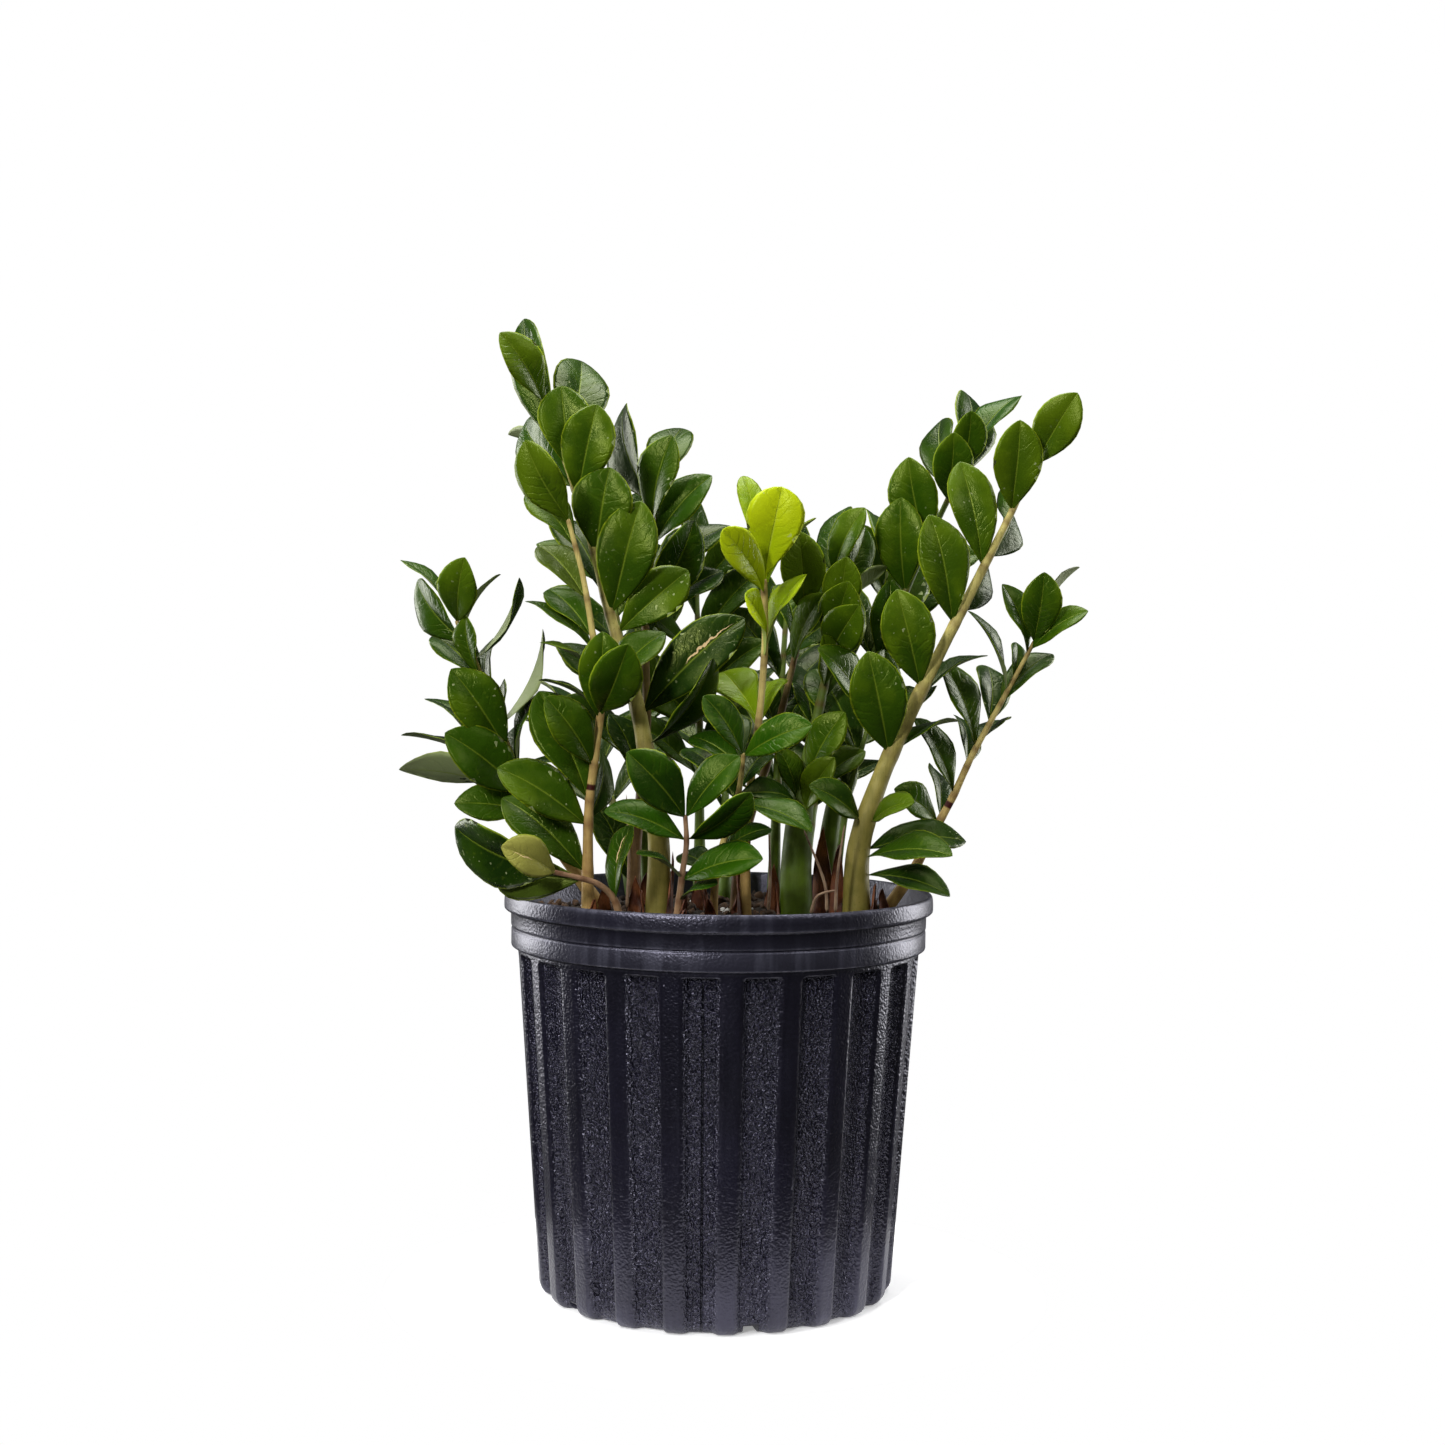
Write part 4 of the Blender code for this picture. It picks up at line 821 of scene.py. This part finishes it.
def stalk_finish(name, foot, top, fleck, mottle):
    """Fleshy stalk: foot colour to top colour along it, mottled, with brown scars at its leaflets.

    Fine streaks run along it, and an old leaflet's place is a dark red ring.
    """
    finish, tree, place = start_finish(name)
    cloud = use(tree, mottle, Place=place, Scale=120.0)
    rise, scar, ring = read_marks(tree, "rise", "scar", "ring")
    streaks = ramp(noise(lengthened(place, 0.06), 900.0), 0.5, 0.75)
    skin = coats(foot, (ramp(rise, 0.1, 0.75), top), (cloud["Patches"] * 0.4, fleck),
                 (cloud["Flecks"] * 0.5, fleck), (streaks * 0.35, fleck), (scar * 0.6, SCAR),
                 (ramp(abs(ring), 2.4, 1.2), RING))
    rough = ramp(cloud["Patches"], 0.0, 1.0, 0.45, 0.62)
    return end_finish(finish, skin, rough, cloud["Grain"] - streaks * 0.5, 0.3, 0.0005, 0.20)


def pot_finish(mottle):
    """Black moulded plastic: satin ribs, pebbled panels with painted glints on their crests, worn edges
    lightened also as painted highlight lines, a seam, scuffs and lighter bluish patches towards the foot.
    """
    finish, tree, place = start_finish("pot_black_plastic_finish")
    broad = use(tree, mottle, Place=place, Scale=16.0)["Patches"]
    marks = use(tree, pot_marks_group(), Place=place)
    scuff, seam, wisps, pebble = (marks[label] for label in ("Scuff", "Seam", "Wisps", "Pebble"))
    sunk, height, edge, inside = read_marks(tree, "sunk", "height", "edge", "inside")
    upper = ramp(height, 0.855, 0.862)
    pebbled = ramp(sunk, 0.05, 0.7) * 0.90 + 0.13 - upper * 0.05
    # Lighter bluish patches, more of them towards the foot, which also raise the roughness
    pale_low = ramp(broad * 0.28 - height, -0.06, 0.22) * (wisps * 0.6 + 0.4)
    plastic = coats(
        PLASTIC, (broad, CLOUDS), (pale_low * 0.7, LOW_PALE), (wisps * 0.10, HAZE),
        # Lighter pebble crests: painted glints. Lighter convex edges: wear, and also painted highlight
        # lines along the lip and bands
        (ramp(pebble, 0.80, 1.02) * pebbled * 0.4, PAINTED_CREST_GLINT), (edge * (wisps * 0.5 + 0.3), WORN_AND_HIGHLIT_EDGE),
        (scuff * 0.5, SCUFF), (seam * 0.9, SEAM))
    satin = sunk * -0.09 + 0.30 + upper * 0.03 + scuff * 0.15 + inside * 0.2 + pale_low * 0.22
    relief = pebble * pebbled - seam * 2.0 + scuff * 0.8
    return end_finish(finish, plastic, satin, relief, 1.0, 0.0024, 0.68, (0.80, 0.78, 1.0))


def earth_finish(name, mottle):
    """Rough natural stuff: two colours by patches, dull."""
    dark, light, rough, scale = EARTHS[name]
    finish, tree, place = start_finish(name)
    cloud = use(tree, mottle, Place=place, Scale=scale)
    tint = coats(dark, (cloud["Patches"], light), (cloud["Flecks"] * 0.5, dark))
    return end_finish(finish, tint, rough, cloud["Grain"], 0.6, 0.0008)


# Leaflets and stalks


def outline(s, powers):
    """Half width of a leaflet along its rib: s^a (1 - s^b)^c over its largest value, blunt to the tip."""
    a, b, c = powers
    widest = (a / (a + b * c)) ** (1 / b)
    return s ** a * (1 - s ** b) ** c / (widest ** a * (1 - widest ** b) ** c)


def leaf_points(leaves, breadth, powers, wave):
    """All leaflets of a frond: each is a flat closed tube round its rib.

    Along the rib s runs from 0 to 1, closer together at both ends; across it c runs from -1 to 1 on
    the upper face and back on the under face. A point is root + rib * length * s + side * c * half +
    normal * lift, where half is the outline's half width and lift adds the arch 4s(1-s), the fold |c|
    that opens towards the tip, the groove of the midrib, the pillow sin(pi |c|), the waved margin
    c^2 sin(2 pi (1.5 s + phase)), the tip's droop s^4 and half the blade's thickness, which ends at
    the margins. side and normal turn a little about the rib from root to tip.
    """
    def each(values):
        """Values of the leaflets, lined up with the rows and columns of their points."""
        values = np.array(values)
        return values.reshape(len(values), 1, 1, *values.shape[1:])
    root, rib, side, normal, length, width = (
        each([leaf[label] for leaf in leaves])
        for label in ("root", "rib", "side", "normal", "length", "width"))
    s = (1 - np.cos(np.linspace(0.0, math.pi, LEAF_ROWS)))[None, :, None] / 2
    c = LEAF_ACROSS[None, None, :]
    phase = each(wave)
    form = outline(s, powers)
    half = each(breadth) * width / 2 * form
    lift = BLADE_ARCH * length * 4 * s * (1 - s) + BLADE_FOLD * (1.35 - 0.75 * s) * np.abs(c) ** 1.2 * half
    lift = lift + LEAF_BULGE * half * np.sin(math.pi * np.abs(c))
    lift = lift + LEAF_WAVE * half * c ** 2 * np.sin(math.tau * (1.5 * s + phase + 0.25 * np.sign(c)))
    groove = RIB_GROOVE * np.maximum(1 - np.abs(c) / GROOVE_REACH, 0.0) * (1 - s)
    lift = lift - LEAF_TIP_CURL * length * s ** 4 - groove
    lift = lift + LEAF_SIDE * LEAF_THICK / 2 * form * (1.2 - c ** 2)
    turn = (LEAF_ROLL * (4 * phase % 2 - 1) * (2 * s - 1))[..., None]
    out, up = (half * c)[..., None], lift[..., None]
    point = root + rib * (length * s)[..., None] + side * (np.cos(turn) * out - np.sin(turn) * up)
    point = point + normal * (np.sin(turn) * out + np.cos(turn) * up)
    return kept_inside(point, s[..., None]), np.stack(np.broadcast_arrays(s[0], (c[0] + 1) / 2), axis=-1)


def kept_inside(points, s):
    """Leaflets that would pass the solids' box, bent back by a shift that grows with s."""
    low, high = np.array(cad_box) / MM
    for _ in range(5):
        over = np.maximum(points.max(axis=(1, 2)) - high + BOX_MARGIN, 0.0)
        under = np.maximum(low + BOX_MARGIN - points.min(axis=(1, 2)), 0.0)
        points = points + (under - over)[:, None, None, :] * s
    return points


def own(frond, label, usual=0.0):
    """A number for each leaflet of a frond: its own where the entry has one, else the usual."""
    return np.array([frond.get(label, {}).get(k, usual) for k in range(len(frond["grown"]))])


def leaf_tones_with_painted_light(frond, rng):
    """How bright each leaflet's green is.

    This paints light and shade. A leaflet is painted lighter the more it faces and leans to the front and
    the nearer and higher it stands, as a lit leaflet looks. It is painted darker the more it turns away,
    leans back and stands far and low, as a shaded one looks. A seeded draw and the entry's own tones are
    added.
    """
    root, rib, normal = (np.array([leaf[label] for leaf in frond["grown"]])
                         for label in ("root", "rib", "normal"))
    high = np.clip(root[:, 2], *PAINTED_SHADE_HEIGHTS) - PAINTED_SHADE_MIDDLE
    tone_and_painted_shade = 0.40 - 0.20 * normal[:, 1] - 0.35 * rib[:, 1] - 0.0022 * root[:, 1] + 0.0015 * high
    tone_and_painted_shade = tone_and_painted_shade + 0.09 * rng.standard_normal(len(root)) + own(frond, "tones") + frond.get("tone_and_painted_shade", 0.0)
    return np.clip(tone_and_painted_shade, 0.05, 1.0)


def turned(leaf, angle):
    """A leaflet turned about its rib by an angle in degrees, to show more of its face to the eye."""
    rib = leaf["rib"]
    angle = math.copysign(math.radians(angle), np.cross(rib, leaf["normal"]).dot(EYE - leaf["root"]))
    swing = {label: math.cos(angle) * leaf[label] + math.sin(angle) * np.cross(rib, leaf[label])
             for label in ("side", "normal")}
    return dict(leaf, **swing)


def make_leaves(name, frond, finish, slot, rng):
    """All leaflets of one frond in one piece that stands for the frond's solid."""
    leaves = [turned(leaf, angle) for leaf, angle in zip(frond["grown"], own(frond, "turned"))]
    count, around = len(leaves), len(LEAF_ACROSS)
    powers = YOUNG_OUTLINE_POWERS if slot == "lime_foliage" else OUTLINE_POWERS
    points, uv = leaf_points(leaves, own(frond, "widths", 1.0), powers, rng.random(count))
    # Each leaflet's tone, which carries painted light and shade from its facing, lean, nearness and height
    marks = {"tone_and_painted_shade": leaf_tones_with_painted_light(frond, rng), "dry": own(frond, "dry"), "aged": own(frond, "aged"),
             "fresh": np.clip(frond.get("fresh", 0.0) + 0.15 * rng.standard_normal(count), 0.0, 1.0)}
    marks = {label: np.repeat(values, LEAF_ROWS * around) for label, values in marks.items()}
    beneath = np.repeat([0.0, 1.0], [UPPER_FACES, around - UPPER_FACES])
    return piece(f"{name}_leaflets", points, many(LEAF_ROWS, around, count)[:, ::-1], finish, name,
                 np.tile(uv.reshape(-1, 2), (count, 1)), marks,
                 {"under": np.tile(beneath, (LEAF_ROWS - 1) * count)})


def sweep(line, radius, sides):
    """Tube along a line: centre + radius (cos a first + sin a second), first and second square to it."""
    ahead = np.gradient(line, axis=0)
    ahead /= np.linalg.norm(ahead, axis=1, keepdims=True)
    first = np.cross(ahead, [0.0, 1.0, 0.0])
    first /= np.linalg.norm(first, axis=1, keepdims=True)
    second = np.cross(ahead, first)
    a = np.linspace(0.0, math.tau, sides, endpoint=False)[None, :, None]
    ring = np.cos(a) * first[:, None] + np.sin(a) * second[:, None]
    return line[:, None] + np.asarray(radius)[:, None, None] * ring


def make_stalk_looks(name, frond, finish):
    """Stalk: a tube on the smooth line of the solid's, swollen at each leaflet and round at its end."""
    line = smooth_line(frond["line"][1:], TUBE_RINGS)
    even = np.linspace(0.0, 1.0, TUBE_RINGS)
    radius = np.interp(even, np.linspace(0.0, 1.0, len(frond["line"]) - 1), frond["radius"][1:])
    roots = np.array([leaf["root"] for leaf in frond["grown"]])
    away = np.linalg.norm(line[:, None] - roots[None], axis=2).min(axis=1)
    radius = radius * (1 + NODE_SWELL * np.exp(-(away / NODE_REACH) ** 2))
    end = line[-1:] + 0.6 * radius[-1] * unit(line[-1] - line[-2])
    line = np.vstack([frond["line"][:1], line, end])
    tube = sweep(line, np.concatenate([radius[:1], radius[:-1], [radius[-1] * 0.85, 0.0]]), TUBE_SIDES)
    tube[0] = tube[0].mean(axis=0)
    marks = {"rise": np.concatenate([[0.0], even, [1.0]]),
             "scar": np.concatenate([[0.0], np.exp(-(away / SCAR_REACH) ** 2), [0.0]]),
             "ring": drawn(line)[:, 1] - frond.get("ring", 0.0)}
    return piece(f"{name}_stalk", tube, quads(len(line), TUBE_SIDES), finish,
                 marks={label: np.repeat(values, TUBE_SIDES) for label, values in marks.items()})


# Pot


def flute_columns():
    """Angles round the pot, closest together on the ribs' edges, and how far each lies from its rib."""
    pitch = math.tau / FLUTES
    off = np.concatenate([RIB_COLUMNS, [pitch / 2], pitch - RIB_COLUMNS[:0:-1]])
    angle = FIRST_RIB - math.pi / 2 + (np.arange(FLUTES)[:, None] * pitch + off[None]).ravel()
    return angle, np.tile(np.minimum(off, pitch - off), FLUTES)


def pot_outline():
    """Rows of the pot's section from the base's middle, up the outside and down to the floor's middle.

    Columns: radius, height and how deep the flutes cut there, where 2 marks the rows at their tops.
    """
    def wall(heights, inset, cut):
        """Rows of the tapered wall, set in from its outside."""
        radii = np.interp(heights, [8.0, COLLAR_FOOT], [BODY_FOOT_RADIUS, BODY_TOP_RADIUS])
        return [(radius - inset, z, cut) for radius, z in zip(radii, heights)]

    def band(level, *rows):
        """Rows that the flutes do not cut, by their height over a level."""
        return [(radius, level + up, 0) for radius, up in rows]
    rows = [(0, 0, 0), (60, 0, 0), (96, 0, 0.7), (100.5, 0, 0.8), (102.8, 0.7, 0.85), (104.8, 2.0, 0.9),
            (106.4, 4.2, 0.95), (107.2, 6.2, 1.0)]
    rows += wall(np.linspace(8.0, FLUTE_TOP - 8.5, 24), 0, 1.0)
    rows += wall(np.linspace(FLUTE_TOP - 7.5, FLUTE_TOP + 1.3, 23), 0, 2.0)
    rows += band(COLLAR_FOOT, (121.8, -2.0), (121.9, -0.9), (122.3, -0.5), (124.8, -0.3), (125.4, 0.1),
                 (125.6, 0.9), (125.6, 9.8), (125.4, 10.4), (124.7, 10.8), (124.6, 11.3), (125.2, 11.7),
                 (125.7, 12.3), (125.8, 13.2))
    rows += band(POT_HEIGHT - LIP_HEIGHT, (125.9, -1.6), (126.3, -0.5), (127.6, -0.05), (129.2, 0.1),
                 (129.8, 0.7), (129.96, 1.8), (129.96, 4.5))
    rows += band(POT_HEIGHT, (129.8, -2.8), (129.5, -1.1), (129.0, -0.3), (128.4, 0.0), (127.3, 0.0),
                 (126.8, -0.4), (126.4, -1.8))
    rows += [(123.1, COLLAR_FOOT + 2 * WALL, 0), (BODY_TOP_RADIUS - WALL, FLUTE_TOP + 5, 0)]
    rows += wall([FLUTE_TOP - 2.0, 9.5], WALL, 1.0)
    return np.array(rows + [(99.5, WALL, 0.9), (60, WALL, 0), (0, WALL, 0)])


def eased(share):
    """A smooth step: share^2 (3 - 2 share) between 0 and 1."""
    share = np.clip(share, 0.0, 1.0)
    return share * share * (3 - 2 * share)


def make_pot_looks(finish):
    """Pot: the section turned round its axis, its radius less the flute's depth at each angle.

    A flute's depth at a row is that row's cut times a smooth step from the rib's edge to its shoulder,
    and each panel ends under the collar with corners rounded by the circle of PANEL_CORNER. edge marks
    how sharply the section turns outwards at a row.
    """
    section = pot_outline()
    angle, off = flute_columns()
    middle = np.clip((off - SHOULDER_HALF) / (math.pi / FLUTES - SHOULDER_HALF), 0.0, 1.0)
    r, z, cut = (section[:, k:k + 1] for k in range(3))
    inward = np.clip((off - RIB_HALF) * BODY_TOP_RADIUS, 0.0, PANEL_CORNER)
    ends = FLUTE_TOP + 0.9 - PANEL_CORNER + np.sqrt(PANEL_CORNER ** 2 - (PANEL_CORNER - inward) ** 2)
    deep = np.where(cut > 1.5, eased((ends - z) / 2.0), cut)
    deep = deep * eased((off - RIB_HALF) / (SHOULDER_HALF - RIB_HALF))
    radius = r - FLUTE_DEPTH * deep - PANEL_BOW * deep * middle
    inner_wall = np.arange(len(section))[:, None] > np.argmax(section[:, 1])
    heading = np.unwrap(np.arctan2(np.diff(section[:, 1]), np.diff(section[:, 0])))
    bend = np.concatenate([[0.0], np.diff(heading), [0.0]])[:, None]
    marks = {"sunk": deep, "height": z / POT_HEIGHT, "inside": inner_wall & (z < POT_HEIGHT - 3),
             "edge": np.clip(bend / EDGE_TURN, 0.0, 1.0)}
    marks = {label: np.broadcast_to(values, radius.shape) for label, values in marks.items()}
    points = np.stack(np.broadcast_arrays(radius * np.cos(angle), radius * np.sin(angle), z), axis=-1)
    return piece("pot_shell", points, quads(len(section), len(angle)), finish, "pot",
                 marks=marks)


def cut_drain_slots(pot):
    """Drain slots through the pot's bottom edge."""
    cutters = bpy.data.collections.new("drain_slots")
    bpy.context.scene.collection.children.link(cutters)
    reach = BODY_FOOT_RADIUS - FLUTE_DEPTH - 5
    for k in range(DRAIN_SLOTS):
        flute = round(k * FLUTES / DRAIN_SLOTS) + 0.5
        turn = FIRST_RIB - math.pi / 2 + flute * math.tau / FLUTES
        mesh = bpy.data.meshes.new(f"slot_{k}")
        shape = bmesh.new()
        place = Matrix.Rotation(turn, 4, "Z") @ Matrix.Translation((reach * MM, 0, 0))
        size = Matrix.Diagonal((*(Vector(SLOT_SIZE) * MM), 1.0))
        bmesh.ops.create_cube(shape, size=1.0, matrix=place @ size)
        shape.to_mesh(mesh)
        shape.free()
        cutters.objects.link(bpy.data.objects.new(f"slot_{k}", mesh))
    cut = pot.modifiers.new("drain", "BOOLEAN")
    cut.operation, cut.solver = "DIFFERENCE", "EXACT"
    cut.operand_type, cut.collection = "COLLECTION", cutters
    bpy.context.view_layer.update()
    mesh = bpy.data.meshes.new_from_object(pot.evaluated_get(bpy.context.evaluated_depsgraph_get()))
    pot.modifiers.clear()
    pot.data = mesh
    for slot in list(cutters.objects):
        bpy.data.objects.remove(slot)
    bpy.data.collections.remove(cutters)


# Potting mix


def rough_field(x, y, rng, count, size, height):
    """A rough field: a sum of waves of that size in seeded directions."""
    turn = rng.uniform(0, math.tau, count)
    phase = rng.uniform(0, math.tau, count)
    pace = math.tau / (size * rng.uniform(0.6, 1.6, count))
    waves = np.sin(x[..., None] * pace * np.cos(turn) + y[..., None] * pace * np.sin(turn) + phase)
    return height * waves.mean(axis=-1) * math.sqrt(count)


def heap(x, y):
    """Height of the potting mix at a place: the solid's gentle heaps."""
    waves = np.sin(x / 17 + 0.6) * np.cos(y / 21) + 0.5 * np.sin(y / 11 - x / 23)
    return SOIL_LEVEL + SOIL_RELIEF * waves


def make_soil_looks(finish, rng):
    """Potting mix: a disc of rings, as high as the solid's heaps plus two rough fields, over a plug."""
    rings = np.concatenate([np.linspace(0.0, 1.0, SOIL_RINGS), [1.0, 0.985, 0.9, 0.76, 0.0]])[:, None]
    a = np.linspace(0.0, math.tau, SOIL_COLUMNS, endpoint=False)
    x, y = SOIL_EDGE * rings * np.cos(a), SOIL_EDGE * rings * np.sin(a)
    z = heap(x, y) + rough_field(x, y, rng, 24, 16.0, 0.9) + rough_field(x, y, rng, 40, 4.0, 0.55)
    z[SOIL_RINGS:] = np.array([SOIL_LEVEL - 5, 212.0, 205.0, 12.0, 12.0])[:, None]
    return piece("potting_mix", np.stack([x, y, z], axis=-1), quads(len(rings), SOIL_COLUMNS)[:, ::-1],
                 finish, "soil")


def make_grains(name, count, low, high, flat, finish, rng):
    """Loose grains on the mix: small balls of few faces, stretched, turned and dented by a seeded draw.

    A grain's point is its place + turn @ (size * dent * (sin b cos a, sin b sin a, flat cos b)).
    """
    b = np.linspace(0.0, math.pi, GRAIN_ROWS)[:, None]
    a = np.linspace(0.0, math.tau, GRAIN_COLUMNS, endpoint=False)[None]
    ball = np.broadcast_arrays(np.sin(b) * np.cos(a), np.sin(b) * np.sin(a), flat * np.cos(b))
    ball = np.stack(ball, axis=-1)
    far = GRAIN_REACH * np.sqrt(rng.random(count))
    turn = rng.uniform(0, math.tau, count)
    x, y = far * np.cos(turn), far * np.sin(turn)
    size = rng.uniform(low, high, (count, 1)) * rng.uniform(0.55, 1.3, (count, 3))
    dent = rng.uniform(0.72, 1.15, (count, GRAIN_ROWS, GRAIN_COLUMNS, 1))
    dent[:, 0] = dent[:, -1] = dent[:, 0, :1]
    axes = np.linalg.qr(rng.standard_normal((count, 3, 3)))[0]
    axes *= np.sign(np.linalg.det(axes))[:, None, None]
    points = np.einsum("nij,nrcj->nrci", axes, ball[None] * dent * size[:, None, None, :])
    points += np.stack([x, y, heap(x, y) + 0.4 + 0.35 * size[:, 2]], axis=-1)[:, None, None, :]
    return piece(name, points, many(GRAIN_ROWS, GRAIN_COLUMNS, count)[:, ::-1], finish)


def make_sheaths(finish):
    """Dry papery sheaths at the feet of stalks: curled strips, open on one side, ending in a ragged point.

    A strip's point is the stalk's foot + (radius + flare h^3) at angle a, raised by its height times h,
    where a narrows with h and the height falls from the strip's middle to its sides; its outer and
    inner walls are a hair apart.
    """
    table = np.array(SHEATHS, float).T[:, :, None, None]
    foot_x, foot_y, radius, facing, spread, tall, flare = table
    h = np.linspace(0.0, 1.0, SHEATH_ROWS)[None, :, None]
    t = np.concatenate([np.linspace(-1, 1, SHEATH_ACROSS), np.linspace(1, -1, SHEATH_ACROSS)[1:-1]])
    wall = np.repeat([0.0, 1.0], [SHEATH_ACROSS, SHEATH_ACROSS - 2])
    a = np.radians(facing - 90) + np.radians(spread) * t * (1 - 0.6 * h ** 1.5)
    out = radius + 0.5 + flare * h ** 3 - 0.4 * wall + 0.35 * np.sin(7 * t + 5 * h + facing)
    z = SOIL_LEVEL - 3 + (tall + 3) * h * (1 - (0.25 + 0.3 * h) * np.abs(t + 0.25 * np.sin(facing)) ** 1.5)
    points = np.stack(np.broadcast_arrays(foot_x + out * np.cos(a), foot_y + out * np.sin(a), z), axis=-1)
    points[:, -1] = points[:, -1, SHEATH_ACROSS // 2][:, None]
    points[:, 0] = points[:, 0, :].mean(axis=1, keepdims=True)
    return piece("dry_sheaths", points, many(SHEATH_ROWS, len(t), len(SHEATHS)), finish)


def make_dry_stems(finish):
    """Thin dry stems that lean across each other out of the mix: tubes through their places."""
    tubes = []
    for stem in DRY_STEMS:
        line = smooth_line([placed(*place) for place in stem], STEM_RINGS)
        tube = sweep(line, np.linspace(1.1, 0.5, STEM_RINGS), STEM_SIDES)
        tube[0], tube[-1] = tube[0].mean(axis=0), tube[-1].mean(axis=0)
        tubes.append(tube)
    return piece("dry_stems", np.stack(tubes), many(STEM_RINGS, STEM_SIDES, len(tubes)), finish)


# Studio


def make_camera():
    """Camera where the elevation sheet's eye is, looking a little down, with a slight roll."""
    data = bpy.data.cameras.new("eye")
    data.lens, data.sensor_width = CAMERA_LENS, 36.0
    camera = linked("eye", data)
    camera.matrix_world = (Matrix.Translation(Vector(EYE) * MM) @ Matrix.Rotation(CAMERA_PITCH, 4, "X")
                           @ Matrix.Rotation(CAMERA_ROLL, 4, "Z"))
    bpy.context.scene.camera = camera


def make_light(name, place, aim, size, power):
    """A soft rectangular lamp at a place, turned to its aim."""
    data = bpy.data.lights.new(name, "AREA")
    data.shape = "RECTANGLE"
    data.size, data.size_y = size
    data.energy = power
    turn = (Vector(aim) - Vector(place)).to_track_quat("-Z", "Y").to_matrix().to_4x4()
    linked(name, data).matrix_world = Matrix.Translation(Vector(place)) @ turn


def make_studio():
    """Pale round floor, a surround that is white to the eye and dim elsewhere, and large soft lamps.

    The lamps stand above and to the sides, so that leaf faces turned to the eye mirror little light.
    """
    world = bpy.data.worlds.new("studio")
    world.use_nodes = True
    tree = world.node_tree
    dim = tree.nodes["Background"]
    white = tree.nodes.new("ShaderNodeBackground")
    for surround, strength in ((dim, SURROUND), (white, 1.0)):
        surround.inputs["Color"].default_value = (1.0, 1.0, 1.0, 1.0)
        surround.inputs["Strength"].default_value = strength
    seen = tree.nodes.new("ShaderNodeMixShader")
    seen_by_eye = tree.nodes.new("ShaderNodeLightPath").outputs["Is Camera Ray"]
    for k, socket in enumerate((seen_by_eye, dim.outputs[0], white.outputs[0])):
        tree.links.new(socket, seen.inputs[k])
    tree.links.new(seen.outputs[0], tree.nodes["World Output"].inputs["Surface"])
    bpy.context.scene.world = world
    bpy.context.scene.view_settings.view_transform = "Standard"
    mesh = bpy.data.meshes.new("floor")
    turn = np.linspace(0.0, math.tau, FLOOR_SIDES, endpoint=False)
    rim = np.stack([FLOOR_RADIUS * np.cos(turn), FLOOR_RADIUS * np.sin(turn), 0 * turn], axis=-1)
    mesh.from_pydata(rim.tolist(), [], [list(range(FLOOR_SIDES))])
    floor = linked("floor", mesh)
    pale = bpy.data.materials.new("pale_floor")
    pale.use_nodes = True
    shader = pale.node_tree.nodes["Principled BSDF"]
    values = {"Base Color": (0.93, 0.93, 0.93), "Roughness": 0.9, "Specular IOR Level": 0.0,
              "Emission Color": (1.0, 1.0, 1.0), "Emission Strength": FLOOR_GLOW}
    for label, value in values.items():
        feed(shader.inputs[label], value)
    mesh.materials.append(pale)
    for lamp in LAMPS:
        make_light(*lamp)


def main():
    """Camera, studio, finishes and every piece."""
    make_camera()
    make_studio()
    mottle, leaf_marks = mottle_group(), leaf_marks_group()
    green = leaf_finish("green_leaflet", GREEN, mottle, leaf_marks)
    lime = leaf_finish("lime_leaflet", LIME, mottle, leaf_marks)
    skins = {label: stalk_finish(f"{label}_stalk", *colours, mottle) for label, colours in SKINS.items()}
    for order, (name, frond) in enumerate(plan_plant().items()):
        young = name == "frond_lime_shoot"
        slot = "lime_foliage" if young else "green_foliage"
        make_leaves(name, frond, lime if young else green, slot, np.random.default_rng(order + 40))
        make_stalk_looks(name, frond, skins[frond.get("skin", "tan")])
    cut_drain_slots(make_pot_looks(pot_finish(mottle)))
    earth = {name: earth_finish(name, mottle) for name in EARTHS}
    rng = np.random.default_rng(5)
    make_soil_looks(earth["mix"], rng)
    for name, stuff, *form in GRAINS:
        make_grains(name, *form, earth[stuff], rng)
    make_sheaths(earth["dry_sheath"])
    make_dry_stems(earth["dry_stem"])


main()
